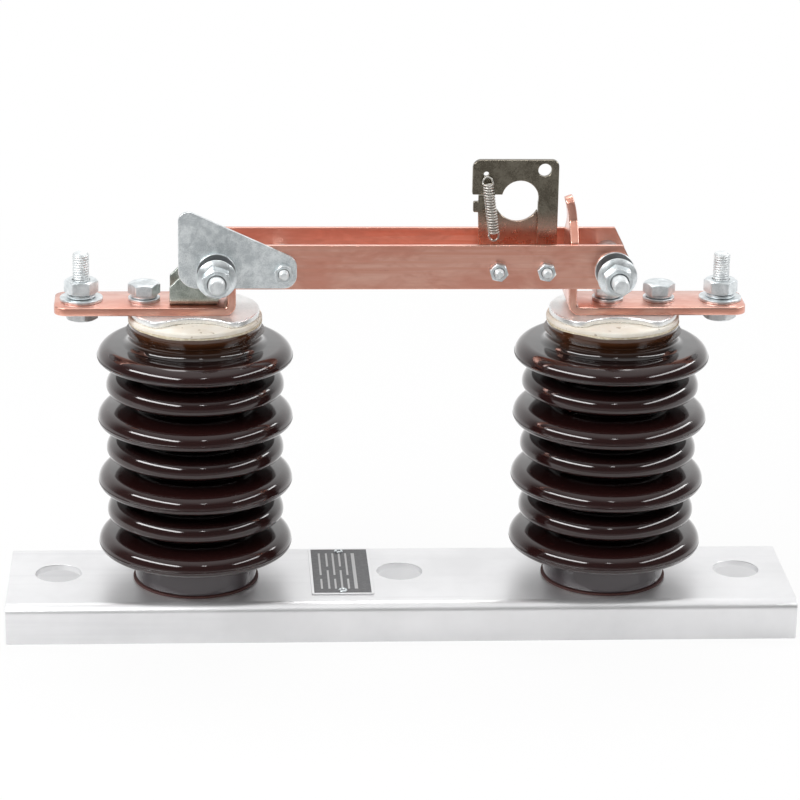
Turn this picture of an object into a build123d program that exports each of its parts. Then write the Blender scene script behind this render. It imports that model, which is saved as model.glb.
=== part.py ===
from build123d import *
import os
from math import atan2, cos, degrees, radians, sin, sqrt

os.makedirs("parts", exist_ok=True)

# Single-pole outdoor disconnect switch: a sheet-steel channel carries two porcelain posts,
# and a pair of copper blades hinges on the left post and closes over a copper jaw on the right.
# Millimetres. +X runs from the hinge end to the jaw end, -Y is the front, +Z is up,
# and the origin is at the middle of the channel's footprint.

# Driving dimensions of the base channel
base_length = 480.0
base_width = 95.0
base_height = 25.0
base_sheet = 4.0
base_bend_radius = 6.0
mount_hole_radius = 14.0
mount_hole_end_distance = 30.0
mount_hole_offset = 5.0

# Nameplate riveted to the web
nameplate_length = 38.0
nameplate_width = 74.0
nameplate_sheet = 0.8
nameplate_corner_radius = 1.5
nameplate_x = -36.5
nameplate_y = 4.0
rivet_radius = 2.8
rivet_head_height = 1.0
rivet_edge_distance = 5.1

# Porcelain posts
post_spacing = 251.4
gasket_thickness = 1.5
gasket_overhang = 1.2
foot_flare = 0.6
foot_height = 5.0
core_radius = 36.5
shed_count = 7
shed_pitch = 19.9
large_shed_radius = 59.0
small_shed_radius = 53.8
lowest_shed_height = 25.5
lip_drop = 6.0
lip_rise = 4.2
lip_chamfer = 3.0
shed_top_rise = 8.6
shed_under_rise = 2.2
crease_radius = 28.0
crease_height = 0.9
head_radius = 40.3
head_height = 15.2
bed_thickness = 2.9

# Cast cap on each post, scooped out at the front and the back
cap_margin = 1.8
cap_height = 3.9
cap_scoop_radius = 25.5
cap_scoop_depth = 18.0
cap_lobe_rounding = 7.0
cap_edge_chamfer = 0.6

# Copper terminal bars
bar_width = 35.0
bar_thickness = 5.0
bar_length = 107.8
bar_corner_radius = 8.0
bar_bend_radius = 2.0
left_upright_inset = 24.2
right_upright_inset = 29.2
left_upright_height = 40.0
jaw_shoulder_height = 45.0
tongue_height = 69.6
tongue_width = 14.0
tongue_taper = 2.0
tongue_curl = 3.2
shoulder_fillet = 4.0
terminal_from_upright = 91.8
outer_screw_from_upright = 54.5
inner_screw_from_upright = 23.6
right_hole_shift = 2.0

# Hinge bracket
bracket_sheet = 3.0
bracket_width = 28.0
bracket_bend_radius = 1.5
bracket_length = 27.7
ear_straight_height = 8.5
ear_top_radius = 10.0
ear_front_rise = 14.0
pivot_from_upright = 11.6
pivot_height = 29.0

# Blades, with their bolts placed from the hinge and from the jaw's upright
blade_height = 27.0
blade_rise = 2.0
blade_thickness = 3.0
blade_bevel_length = 6.0
blade_bevel_height = 12.0
blade_end_from_contact = 10.7
contact_from_jaw = 26.3
ring_pin_from_jaw = 14.4
anchor_from_ring_pin = 28.4
stop_bolt_from_pivot = 39.5
spacer_radius = 5.5
contact_spacer_radius = 8.0

# Stop plate outside the front blade, placed from the pivot and the stop screw
stop_sheet = 2.5
stop_back_reach = 22.5
stop_peak_height = 39.8
stop_peak_radius = 6.0
stop_heel_radius = 11.0
stop_nose_reach = 7.9
stop_nose_height = 7.8
stop_nose_radius = 8.0
stop_floor_drop = 10.2

# Pull lever, placed from the ring pin
lever_sheet = 4.0
lever_reach = 43.6
lever_leg_reach = 7.7
lever_leg_width = 12.0
lever_height = 63.0
lever_arm_height = 42.0
lever_corner_radius = 5.0
ring_from_pin = 15.0
lever_ring_height = 39.5
lever_ring_radius = 11.0
eye_radius = 4.0
eye_from_pin = 0.7
eye_height = 56.9
hook_hole_radius = 1.6

# Ring cradle behind the lever, also placed from the ring pin
cradle_sheet = 3.0
cradle_ring_from_pin = 16.2
cradle_ring_height = 37.7
cradle_ring_radius = 13.3
cradle_reach = 39.5
cradle_strip_width = 8.5
cradle_post_height = 40.5
cradle_right_height = 10.5
cradle_slope_height = 31.5
cradle_tab_bottom = 30.0
cradle_tab_length = 3.0
cradle_tab_height = 6.5
cradle_floor_drop = 7.5

# Tension spring of the pull lever
spring_radius = 3.7
spring_top_from_pin = 35.5
spring_top_height = 54.5
spring_foot_height = 13.5
spring_foot_shift = 1.5
spring_standoff = 0.5

# Screws: thread radius, width across flats, head or nut height, and the washer radius if any
terminal_screw = (5.0, 18.0, 8.4, 12.8)
cap_screw = (5.0, 17.0, 6.4, 9.5)
post_screw = (6.0, 18.0, 7.5, 12.0)
hinge_screw = (5.0, 16.0, 9.0, 11.8)
plate_screw = (3.0, 10.0, 5.0)
post_screw_depth = 16.0
cap_screw_depth = 6.0
washer_thickness = 2.0
spring_washer_thickness = 2.4
flange_thickness = 2.5
pressure_spring_length = 11.6
pressure_spring_radius = 7.7
back_nut_height = 8.0
back_washer_radius = 9.0
locknut_height = 3.2
terminal_stud_height = 29.2
terminal_head_height = 6.5
terminal_root_radius = 4.3
thread_start = 0.5
stud_chamfer = 1.0
hinge_stud_front = 55.5
hinge_stud_back = 34.0
plate_stud_reach = 9.0

# Clearances
hole_clearance = 0.3
running_clearance = 0.05
side_clearance = 0.3
bore_end_clearance = 1.0

# Heights worked out from the sizes above
foot_radius = core_radius + foot_flare
post_foot = base_height + gasket_thickness
lowest_shed = post_foot + lowest_shed_height
top_shed = lowest_shed + (shed_count - 1) * shed_pitch
head_bottom = top_shed + lip_rise + crease_height
bed_bottom = head_bottom + head_height - crease_height
cap_bottom = bed_bottom + bed_thickness
bar_bottom = cap_bottom + cap_height
bar_top = bar_bottom + bar_thickness
pivot_z = bar_bottom + pivot_height

# Places along X worked out from the sizes above
post_x = {"left": -post_spacing / 2, "right": post_spacing / 2}
outward = {"left": -1, "right": 1}
upright_inset = {"left": left_upright_inset, "right": right_upright_inset}
upright_face = {side: post_x[side] - outward[side] * upright_inset[side] for side in post_x}
bar_end = {side: upright_face[side] + outward[side] * bar_length for side in post_x}
hole_shift = {"left": 0.0, "right": right_hole_shift}
terminal_reach = {side: terminal_from_upright + hole_shift[side] for side in post_x}
terminal_x = {side: upright_face[side] + outward[side] * terminal_reach[side] for side in post_x}
pivot_x = upright_face["left"] - pivot_from_upright
contact_x = upright_face["right"] + contact_from_jaw
ring_pin_x = upright_face["right"] - ring_pin_from_jaw
anchor_x = ring_pin_x - anchor_from_ring_pin
stop_bolt_x = pivot_x + stop_bolt_from_pivot
blade_end_x = contact_x + blade_end_from_contact
lever_right_x = ring_pin_x + lever_leg_reach
lever_left_x = ring_pin_x - lever_reach
cradle_left_x = ring_pin_x - cradle_reach

# Depths along Y worked out from the sizes above
blade_inner = bar_width / 2 + side_clearance
blade_outer = blade_inner + blade_thickness
stop_outer = blade_outer + stop_sheet
lever_front = -lever_sheet - side_clearance / 2
cradle_front = side_clearance / 2
cradle_back = cradle_front + cradle_sheet


def node(name, shape):
    export_step(shape, f"parts/{name}.step")


def tube(outer, inner, height):
    return extrude(Circle(outer) - Circle(inner), height)


def hexagon(across_flats, height):
    """A hexagon prism whose far corners are turned off at thirty degrees."""
    crown = 0.95 * across_flats / 2
    cone = Cone(crown + height * sqrt(3), crown, height, align=(Align.CENTER, Align.CENTER, Align.MIN))
    return cone & extrude(RegularPolygon(across_flats / 2, 6, major_radius=False), height)


def nut(across_flats, height, bore):
    return hexagon(across_flats, height) - extrude(Circle(bore), height)


def through_stud(radius, length):
    """A round stud upwards, with a turned chamfer at both ends."""
    stud = extrude(Circle(radius), length)
    ends = stud.edges().group_by(Axis.Z)
    return chamfer(ends[0] + ends[-1], stud_chamfer)


def facing_front(x, y, z, shape):
    """A shape built upwards, laid over so that it points to the front from (x, y, z)."""
    return Pos(x, y, z) * Rot(90, 0, 0) * shape


def facing_back(x, y, z, shape):
    return Pos(x, y, z) * Rot(-90, 0, 0) * shape


def plate_in_xz(outline, y_low, thickness):
    """Extrude a sketch drawn with x and z as its two coordinates, from y_low towards the back."""
    return Pos(0, y_low + thickness, 0) * Rot(90, 0, 0) * extrude(outline, thickness)


def rounded(points, radii):
    """A closed outline through the points, each corner rounded by its own radius."""
    face = make_face(Polyline(*points, close=True))
    for point, radius in zip(points, radii):
        if radius > 0:
            corner = face.vertices().sort_by_distance(Vector(*point, 0))[0]
            face = fillet(corner, radius)
    return face


def base_channel():
    """A steel channel, flanges down, with three mounting holes and a hole under each post."""
    outer = Pos(0, 0, base_height / 2) * Box(base_length, base_width, base_height)
    ridge = outer.edges().filter_by(Axis.X).group_by(Axis.Z)[-1]
    outer = fillet(ridge, base_bend_radius)
    room_width = base_width - 2 * base_sheet
    room_height = base_height - base_sheet
    room = Pos(0, 0, room_height / 2) * Box(base_length, room_width, room_height)
    ridge = room.edges().filter_by(Axis.X).group_by(Axis.Z)[-1]
    room = fillet(ridge, base_bend_radius - base_sheet)
    channel = outer - room
    end_hole = base_length / 2 - mount_hole_end_distance
    for x in (-end_hole, 0, end_hole):
        channel -= Pos(x, mount_hole_offset, 0) * Cylinder(mount_hole_radius, 3 * base_height)
    for x in post_x.values():
        channel -= Pos(x, 0, 0) * Cylinder(post_screw[0] + hole_clearance, 3 * base_height)
    return channel


def nameplate():
    plate = Box(nameplate_length, nameplate_width, nameplate_sheet)
    plate = fillet(plate.edges().filter_by(Axis.Z), nameplate_corner_radius)
    return Pos(nameplate_x, nameplate_y, base_height + nameplate_sheet / 2) * plate


def nameplate_rivets():
    reach = nameplate_width / 2 - rivet_edge_distance
    top = base_height + nameplate_sheet
    head = Cylinder(rivet_radius, rivet_head_height, align=(Align.CENTER, Align.CENTER, Align.MIN))
    return [Pos(nameplate_x, nameplate_y + reach * side, top) * head for side in (-1, 1)]


def shed_outline(radius, height):
    """The underside, rim and sloping top of one shed, from the core out and back."""
    low = height - lip_drop
    high = height + lip_rise
    return [
        (core_radius, low + shed_under_rise),
        (radius - lip_chamfer, low),
        (radius, low + lip_chamfer),
        (radius, high - lip_chamfer),
        (radius - lip_chamfer, high),
    ]


def porcelain_post():
    """One revolved body: foot, core, alternating large and small sheds, and the cupped head."""
    foot_top = post_foot + foot_height
    points = [
        (0, post_foot),
        (foot_radius, post_foot),
        (foot_radius, foot_top),
        (core_radius, foot_top + foot_flare),
    ]
    for index in range(shed_count):
        radius = small_shed_radius if index % 2 else large_shed_radius
        height = lowest_shed + index * shed_pitch
        points += shed_outline(radius, height)
        if index < shed_count - 1:
            points.append((core_radius, height + shed_top_rise))
    cup_width = head_radius - crease_radius
    cup_height = bed_bottom - head_bottom
    for angle in (0, 30, 60, 90):
        out = crease_radius + sin(radians(angle)) * cup_width
        up = head_bottom + (1 - cos(radians(angle))) * cup_height
        points.append((out, up))
    points.append((0, bed_bottom))
    profile = Plane.XZ * make_face(Polyline(*points, close=True))
    return revolve(profile, Axis.Z)


def cap_screw_x(side):
    """Where the outer and the inner screw of a bar go down into its cap."""
    places = []
    for reach in (outer_screw_from_upright, inner_screw_from_upright):
        places.append(upright_face[side] + outward[side] * (reach + hole_shift[side]))
    return places


def insulator(side):
    """The post with a blind hole in its foot and two in its head."""
    body = Pos(post_x[side], 0, 0) * porcelain_post()
    foot_hole = Cylinder(post_screw[0] + hole_clearance, 2 * post_screw_depth)
    body -= Pos(post_x[side], 0, post_foot) * foot_hole
    for x in cap_screw_x(side):
        hole = Cylinder(cap_screw[0] + hole_clearance, 2 * cap_screw_depth)
        body -= Pos(x, 0, bed_bottom) * hole
    return body


def gasket(side):
    ring = tube(foot_radius + gasket_overhang, post_screw[0] + hole_clearance, gasket_thickness)
    return Pos(post_x[side], 0, base_height) * ring


def drill_cap_holes(side, shape):
    for x in cap_screw_x(side):
        shape -= Pos(x, 0, cap_bottom) * Cylinder(cap_screw[0] + hole_clearance, 4 * bar_thickness)
    return shape


def cement_bed(side):
    disc = extrude(Circle(head_radius), bed_thickness)
    return drill_cap_holes(side, Pos(post_x[side], 0, bed_bottom) * disc)


def post_cap(side):
    """A round casting whose front and back are scooped out to give four lobes."""
    radius = head_radius - cap_margin
    outline = Circle(radius)
    scoop_y = radius - cap_scoop_depth + cap_scoop_radius
    for y in (-scoop_y, scoop_y):
        outline -= Pos(0, y) * Circle(cap_scoop_radius)
    outline = fillet(outline.vertices(), cap_lobe_rounding)
    cap = extrude(outline, cap_height)
    cap = chamfer(cap.edges().group_by(Axis.Z)[-1], cap_edge_chamfer)
    return drill_cap_holes(side, Pos(post_x[side], 0, cap_bottom) * cap)


def post_fixing_screw(side):
    """The hexagon screw that comes up through the web into the post."""
    radius, flats, head, washer = post_screw
    web_under = base_height - base_sheet
    screw = Pos(0, 0, web_under - washer_thickness) * extrude(Circle(washer), washer_thickness)
    screw += Pos(0, 0, web_under - washer_thickness) * Rot(180, 0, 0) * hexagon(flats, head)
    length = base_sheet + gasket_thickness + post_screw_depth - bore_end_clearance
    screw += Pos(0, 0, web_under) * extrude(Circle(radius), length)
    return Pos(post_x[side], 0, 0) * screw


def bent_bar(side, upright_top):
    """The flat bar and its upright, bent square, drawn in the XZ plane and run across Y."""
    out = outward[side]
    end = bar_end[side]
    face = upright_face[side]
    points = [
        (end, bar_bottom),
        (face, bar_bottom),
        (face, upright_top),
        (face + out * bar_thickness, upright_top),
        (face + out * bar_thickness, bar_top),
        (end, bar_top),
    ]
    outline = rounded(points, [0, bar_bend_radius + bar_thickness, 0, 0, bar_bend_radius, 0])
    bar = plate_in_xz(outline, -bar_width / 2, bar_width)
    corners = bar.edges().filter_by(Axis.Z).group_by(Axis.X)[0 if out < 0 else -1]
    bar = fillet(corners, bar_corner_radius)
    stud_hole = Cylinder(terminal_screw[0] + hole_clearance, 4 * bar_thickness)
    bar -= Pos(terminal_x[side], 0, bar_top) * stud_hole
    return drill_cap_holes(side, bar)


def terminal_bar_left():
    return bent_bar("left", bar_bottom + left_upright_height)


def terminal_bar_right():
    """The jaw bar: the upright narrows above the blades to a curled tongue."""
    root = bar_bottom + jaw_shoulder_height
    bar = bent_bar("right", root)
    face = upright_face["right"]
    rise = tongue_height - jaw_shoulder_height
    spine = [(0, 0), (0.1, 0.35 * rise), (-0.3 * tongue_curl, 0.7 * rise), (-tongue_curl, rise)]
    left = [(face + dx, root + dz) for dx, dz in spine]
    right = [(face + bar_thickness + dx * 0.8, root + dz) for dx, dz in spine]
    left_side = Spline(*left, tangents=[(0, 1), (-0.8, 1)])
    right_side = Spline(*right, tangents=[(0, 1), (-0.8, 1)])
    tip = Line(left_side @ 1, right_side @ 1)
    foot = Line(left_side @ 0, right_side @ 0)
    side_view = make_face([left_side, tip, right_side, foot])
    tongue = plate_in_xz(side_view, -bar_width / 2, bar_width)
    half = bar_width / 2
    neck = tongue_width / 2
    shoulder = half - neck
    top = root + rise + 1
    points = [
        (-half, root - 1),
        (half, root - 1),
        (half, root),
        (neck, root + shoulder),
        (neck - tongue_taper, top),
        (tongue_taper - neck, top),
        (-neck, root + shoulder),
        (-half, root),
    ]
    turn = shoulder_fillet
    front_view = rounded(points, [0, 0, 1, turn, turn, turn, turn, 1])
    reach = 6 * bar_thickness
    width_limit = Rot(0, 0, 90) * Rot(90, 0, 0) * extrude(front_view, 2 * reach)
    return bar + (tongue & Pos(face - reach, 0, 0) * width_limit)


def terminal_screw_set(side):
    """Screw head below the bar, stud through it, and washer, spring washer and nut on top."""
    radius, flats, height, washer = terminal_screw
    bore = terminal_root_radius + hole_clearance
    low = bar_top + washer_thickness
    stack = Pos(0, 0, bar_top) * tube(washer, bore, washer_thickness)
    stack += Pos(0, 0, low) * tube(flats / 2 + 0.5, bore, spring_washer_thickness)
    low += spring_washer_thickness
    stack += Pos(0, 0, low) * nut(flats, height, bore)
    thread_low = low + height + thread_start
    thread = extrude(Circle(radius), bar_top + terminal_stud_height - thread_low)
    thread = chamfer(thread.edges().group_by(Axis.Z)[-1], stud_chamfer)
    screw = Pos(0, 0, bar_bottom) * Rot(180, 0, 0) * hexagon(flats, terminal_head_height)
    screw += Pos(0, 0, bar_bottom) * extrude(Circle(terminal_root_radius), thread_low - bar_bottom)
    screw += Pos(0, 0, thread_low) * thread
    place = Pos(terminal_x[side], 0, 0)
    return place * screw, place * stack


def cap_screws(side):
    """Two hexagon screws with washers that hold the bar and the cap to the post."""
    radius, flats, head, washer = cap_screw
    head_low = washer_thickness + spring_washer_thickness
    seats = {"left": (bar_top, bar_top + bracket_sheet), "right": (bar_top, bar_top)}
    screws = []
    for x, seat in zip(cap_screw_x(side), seats[side]):
        depth = seat - bed_bottom + cap_screw_depth - bore_end_clearance
        screw = Pos(0, 0, -depth) * extrude(Circle(radius), depth)
        screw += extrude(Circle(washer), washer_thickness)
        screw += Pos(0, 0, washer_thickness) * extrude(Circle(flats / 2), spring_washer_thickness)
        screw += Pos(0, 0, head_low) * hexagon(flats, head)
        screws.append(Pos(x, 0, seat) * screw)
    return screws


def hinge_bracket():
    """A U of sheet steel: its floor lies on the bar and its two ears carry the pivot."""
    left = pivot_x - bracket_length
    right = upright_face["left"] - bar_thickness - 2 * side_clearance
    ear_top = pivot_z + ear_top_radius
    height = ear_top - bar_top
    middle = (left + right) / 2
    block = Pos(middle, 0, bar_top + height / 2) * Box(right - left, bracket_width, height)
    ridge = block.edges().filter_by(Axis.X).group_by(Axis.Z)[0]
    block = fillet(ridge, bracket_bend_radius + bracket_sheet)
    room_width = bracket_width - 2 * bracket_sheet
    room = Pos(middle, 0, bar_top + bracket_sheet + height / 2) * Box(right - left, room_width, height)
    ridge = room.edges().filter_by(Axis.X).group_by(Axis.Z)[0]
    room = fillet(ridge, bracket_bend_radius)
    slope_foot = bar_top + ear_straight_height + bracket_sheet
    points = [
        (left, bar_top),
        (pivot_x, bar_top),
        (right, bar_top + ear_front_rise),
        (right, ear_top),
        (left + ear_top - slope_foot, ear_top),
        (left, slope_foot),
    ]
    outline = rounded(points, [0, 0, 4, 6, 4, 1])
    bracket = (block - room) & plate_in_xz(outline, -bracket_width / 2, bracket_width)
    bracket = drill_across(bracket, pivot_x, hinge_screw[0] + hole_clearance)
    screw_hole = Cylinder(cap_screw[0] + hole_clearance, 4 * bracket_sheet)
    return bracket - Pos(cap_screw_x("left")[1], 0, bar_top) * screw_hole


def drill_across(shape, x, radius):
    return shape - Pos(x, 0, pivot_z) * Rot(90, 0, 0) * Cylinder(radius, 4 * bar_width)


def blade_pair():
    """Flat copper bars with a round hinge end and a bevelled closing end."""
    half = blade_height / 2
    low = pivot_z + blade_rise - half
    high = pivot_z + blade_rise + half
    bevel_x = blade_end_x - blade_bevel_length
    points = [
        (pivot_x - half, low),
        (bevel_x, low),
        (blade_end_x, low + blade_bevel_height),
        (blade_end_x, high - blade_bevel_height),
        (bevel_x, high),
        (pivot_x - half, high),
    ]
    outline = rounded(points, [half - 0.01, 1, 1, 1, 1, half - 0.01])
    blades = []
    for y_low in (-blade_outer, blade_inner):
        blade = plate_in_xz(outline, y_low, blade_thickness)
        blade = drill_across(blade, pivot_x, hinge_screw[0] + running_clearance)
        blade = drill_across(blade, contact_x, hinge_screw[0] + hole_clearance)
        for x in (stop_bolt_x, anchor_x, ring_pin_x):
            blade = drill_across(blade, x, plate_screw[0] + hole_clearance)
        blades.append(blade)
    return blades


def stop_plate():
    """A three-cornered plate outside the front blade, whose peak lands on the cap when fully open."""
    low = pivot_z - stop_floor_drop
    back = pivot_x - stop_back_reach
    nose = stop_bolt_x + stop_nose_reach
    points = [
        (back, low),
        (nose, low),
        (nose, pivot_z + stop_nose_height),
        (back, pivot_z + stop_peak_height),
    ]
    outline = rounded(points, [stop_heel_radius, stop_nose_radius, stop_nose_radius, stop_peak_radius])
    plate = plate_in_xz(outline, -stop_outer, stop_sheet)
    plate = drill_across(plate, pivot_x, hinge_screw[0] + running_clearance)
    return drill_across(plate, stop_bolt_x, plate_screw[0] + hole_clearance)


def clamp_screw(x, front_seat, back_seat):
    """A long stud: a pressure spring and a flanged nut at the front, a plain nut at the back."""
    radius, flats, height, washer = hinge_screw
    length = hinge_stud_front + hinge_stud_back
    stud = facing_back(x, -hinge_stud_front, pivot_z, through_stud(radius, length))
    bore = radius + hole_clearance
    align = (Align.CENTER, Align.CENTER, Align.MIN)
    stack = tube(washer, bore, washer_thickness)
    stack += Pos(0, 0, washer_thickness) * tube(pressure_spring_radius, bore, pressure_spring_length)
    low = washer_thickness + pressure_spring_length
    skirt = Cone(washer, flats / 2, flange_thickness, align=align)
    stack += Pos(0, 0, low) * (skirt - extrude(Circle(bore), flange_thickness))
    stack += Pos(0, 0, low + flange_thickness) * nut(flats, height, bore)
    front = facing_front(x, -front_seat, pivot_z, stack)
    plain = tube(back_washer_radius, bore, washer_thickness)
    plain += Pos(0, 0, washer_thickness) * nut(flats, back_nut_height, bore)
    back = facing_back(x, back_seat, pivot_z, plain)
    return stud, front, back


def small_screw(x, front_seat):
    """A through stud with a nut outside each blade."""
    radius, flats, height = plate_screw
    length = front_seat + blade_outer + 2 * plate_stud_reach
    stud = facing_back(x, -front_seat - plate_stud_reach, pivot_z, through_stud(radius, length))
    outer_nut = nut(flats, height, radius + hole_clearance)
    front = facing_front(x, -front_seat, pivot_z, outer_nut)
    back = facing_back(x, blade_outer, pivot_z, outer_nut)
    return stud, front, back


def locknuts(x, front_face, back_face):
    """Thin nuts between the blades, on both sides of the plates that the stud holds."""
    thin = nut(plate_screw[1], locknut_height, plate_screw[0] + hole_clearance)
    return [facing_front(x, front_face, pivot_z, thin), facing_back(x, back_face, pivot_z, thin)]


def pull_lever():
    """The arch of the pull ring: an arm over the ring and a leg down to its pin."""
    top = pivot_z + lever_height
    arm = pivot_z + lever_arm_height
    leg_left = lever_right_x - lever_leg_width
    foot = pivot_z - lever_leg_width / 2
    points = [
        (lever_left_x, arm),
        (leg_left, arm),
        (leg_left, foot),
        (lever_right_x, foot),
        (lever_right_x, top),
        (lever_left_x, top),
    ]
    outline = rounded(points, [0.8, 0, 3, 5, lever_corner_radius - 1, lever_corner_radius])
    holes = Pos(ring_pin_x - ring_from_pin, pivot_z + lever_ring_height) * Circle(lever_ring_radius)
    holes += Pos(ring_pin_x - eye_from_pin, pivot_z + eye_height) * Circle(eye_radius)
    hook_hole = Circle(hook_hole_radius)
    holes += Pos(ring_pin_x - spring_top_from_pin, pivot_z + spring_top_height) * hook_hole
    lever = plate_in_xz(outline - holes, lever_front, lever_sheet)
    return drill_across(lever, ring_pin_x, plate_screw[0] + running_clearance)


def ring_cradle():
    """The fixed half of the pull ring, a plate between the blades with a post at its left."""
    low = pivot_z - cradle_floor_drop
    high = pivot_z + cradle_post_height
    tab_low = pivot_z + cradle_tab_bottom
    tab_high = tab_low + cradle_tab_height
    tab_x = cradle_left_x - cradle_tab_length
    slope_foot = pivot_z + cradle_slope_height
    strip_right = cradle_left_x + cradle_strip_width
    points = [
        (cradle_left_x + 1.5, low),
        (lever_right_x, low),
        (lever_right_x, pivot_z + cradle_right_height),
        (lever_right_x - lever_leg_width, slope_foot),
        (strip_right, slope_foot),
        (strip_right, high),
        (cradle_left_x, high),
        (cradle_left_x, tab_high),
        (tab_x, tab_high),
        (tab_x, tab_low),
        (cradle_left_x, tab_low),
    ]
    outline = rounded(points, [3, 3, 3, 0, 0, 1, 1, 0.5, 1, 1, 0.5])
    ring_x = ring_pin_x - cradle_ring_from_pin
    outline -= Pos(ring_x, pivot_z + cradle_ring_height) * Circle(cradle_ring_radius)
    cradle = plate_in_xz(outline, cradle_front, cradle_sheet)
    for x in (ring_pin_x, anchor_x):
        cradle = drill_across(cradle, x, plate_screw[0] + hole_clearance)
    return cradle


def lever_spring():
    """The tension spring as its plain outer body, from the lever's arm to the anchor screw."""
    top = Vector(ring_pin_x - spring_top_from_pin, 0, pivot_z + spring_top_height)
    foot = Vector(anchor_x - spring_foot_shift, 0, pivot_z + spring_foot_height)
    y = lever_front - spring_radius - spring_standoff
    along = top - foot
    lean = degrees(atan2(along.X, along.Z))
    body = extrude(Circle(spring_radius), along.length)
    return Pos(foot.X, y, foot.Z) * Rot(0, lean, 0) * body


node("base_channel", base_channel())
node("nameplate", nameplate())
node("nameplate_rivets", Compound(nameplate_rivets()))

for side in ("left", "right"):
    node(f"gasket_{side}", gasket(side))
    node(f"insulator_{side}", insulator(side))
    node(f"cement_bed_{side}", cement_bed(side))
    node(f"post_cap_{side}", post_cap(side))
    node(f"post_screw_{side}", post_fixing_screw(side))
    screw, top_nut = terminal_screw_set(side)
    node(f"terminal_screw_{side}", screw)
    node(f"terminal_nut_{side}", top_nut)
    outer_screw, inner_screw = cap_screws(side)
    node(f"cap_screw_outer_{side}", outer_screw)
    node(f"cap_screw_inner_{side}", inner_screw)

node("terminal_bar_left", terminal_bar_left())
node("terminal_bar_right", terminal_bar_right())
node("hinge_bracket", hinge_bracket())

seats = (stop_outer + side_clearance, blade_outer + side_clearance)
pivot_stud, pivot_front, pivot_back = clamp_screw(pivot_x, *seats)
node("pivot_screw", pivot_stud)
node("pivot_nut_front", pivot_front)
node("pivot_nut_back", pivot_back)

blade_front, blade_back = blade_pair()
node("blade_front", blade_front)
node("blade_back", blade_back)
node("stop_plate_front", stop_plate())

contact_stud, contact_front, contact_back = clamp_screw(contact_x, blade_outer, blade_outer)
node("contact_screw", contact_stud)
node("contact_nut_front", contact_front)
node("contact_nut_back", contact_back)
contact_tube = tube(contact_spacer_radius, hinge_screw[0] + hole_clearance, 2 * blade_inner)
node("contact_spacer", facing_front(contact_x, blade_inner, pivot_z, contact_tube))

stud, front_nut, back_nut = small_screw(stop_bolt_x, stop_outer)
node("stop_screw", stud)
node("stop_screw_nuts", Compound([front_nut, back_nut]))
sleeve = tube(spacer_radius, plate_screw[0] + hole_clearance, 2 * blade_inner)
node("blade_spacer", facing_front(stop_bolt_x, blade_inner, pivot_z, sleeve))

stud, front_nut, back_nut = small_screw(anchor_x, blade_outer)
inner_nuts = locknuts(anchor_x, cradle_front, cradle_back)
node("anchor_screw", stud)
node("anchor_screw_nuts", Compound([front_nut, back_nut, *inner_nuts]))

stud, front_nut, back_nut = small_screw(ring_pin_x, blade_outer)
inner_nuts = locknuts(ring_pin_x, lever_front - side_clearance, cradle_back)
node("ring_pin", stud)
node("ring_pin_nuts", Compound([front_nut, back_nut, *inner_nuts]))

node("ring_cradle", ring_cradle())
node("pull_lever", pull_lever())
node("lever_spring", lever_spring())
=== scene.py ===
# %% [markdown]
# # Dressing a hook-stick disconnect switch
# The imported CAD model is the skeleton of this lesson: a steel channel carries two porcelain posts,
# and two copper blades hinge on the left post and close over a copper jaw on the right.
# We keep its places and its moving bodies, and make every visible surface again as a finer piece:
# soft glazed lips, rolled edges, chamfered nuts, cut threads and a wound spring.

# %% Load the frame
import math

import bpy
import numpy as np
from mathutils import Matrix, Vector
from mathutils.geometry import tessellate_polygon


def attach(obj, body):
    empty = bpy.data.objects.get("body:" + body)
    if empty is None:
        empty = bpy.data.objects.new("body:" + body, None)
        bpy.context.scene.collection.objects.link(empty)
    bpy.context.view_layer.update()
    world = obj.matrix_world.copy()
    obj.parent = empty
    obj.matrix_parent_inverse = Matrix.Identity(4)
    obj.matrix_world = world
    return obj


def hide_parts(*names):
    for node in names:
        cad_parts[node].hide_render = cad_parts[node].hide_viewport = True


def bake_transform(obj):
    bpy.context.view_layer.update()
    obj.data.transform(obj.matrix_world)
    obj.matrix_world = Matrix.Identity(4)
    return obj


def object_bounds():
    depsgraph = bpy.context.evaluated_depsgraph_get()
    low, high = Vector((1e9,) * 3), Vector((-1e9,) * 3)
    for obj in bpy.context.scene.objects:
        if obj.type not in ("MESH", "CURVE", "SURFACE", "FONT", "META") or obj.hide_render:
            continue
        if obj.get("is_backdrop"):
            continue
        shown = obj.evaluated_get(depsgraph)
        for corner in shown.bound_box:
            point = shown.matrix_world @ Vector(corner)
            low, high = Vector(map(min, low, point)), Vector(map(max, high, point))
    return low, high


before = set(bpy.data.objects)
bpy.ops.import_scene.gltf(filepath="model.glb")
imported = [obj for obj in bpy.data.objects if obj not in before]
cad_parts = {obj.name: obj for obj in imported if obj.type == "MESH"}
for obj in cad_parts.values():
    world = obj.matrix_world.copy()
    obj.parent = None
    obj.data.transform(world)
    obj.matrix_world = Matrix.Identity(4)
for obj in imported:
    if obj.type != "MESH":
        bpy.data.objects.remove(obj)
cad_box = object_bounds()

print("CAD nodes:", len(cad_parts))

# %% [markdown]
# ## Camera
# The photograph looks down at the switch with a long lens from about two metres, a little from the left.
# The place and the three angles come from solving the camera on the channel's corners and the sheds.
# A matrix built from the three viewing axes keeps the small roll, which a look-at target would lose.

# %% Camera from its place and its three angles
camera_place = Vector((-0.12506, -1.82439, 0.76925))
yaw, pitch, roll = 0.06739, 0.33207, -0.01868
lens_length = 143.6

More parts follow.
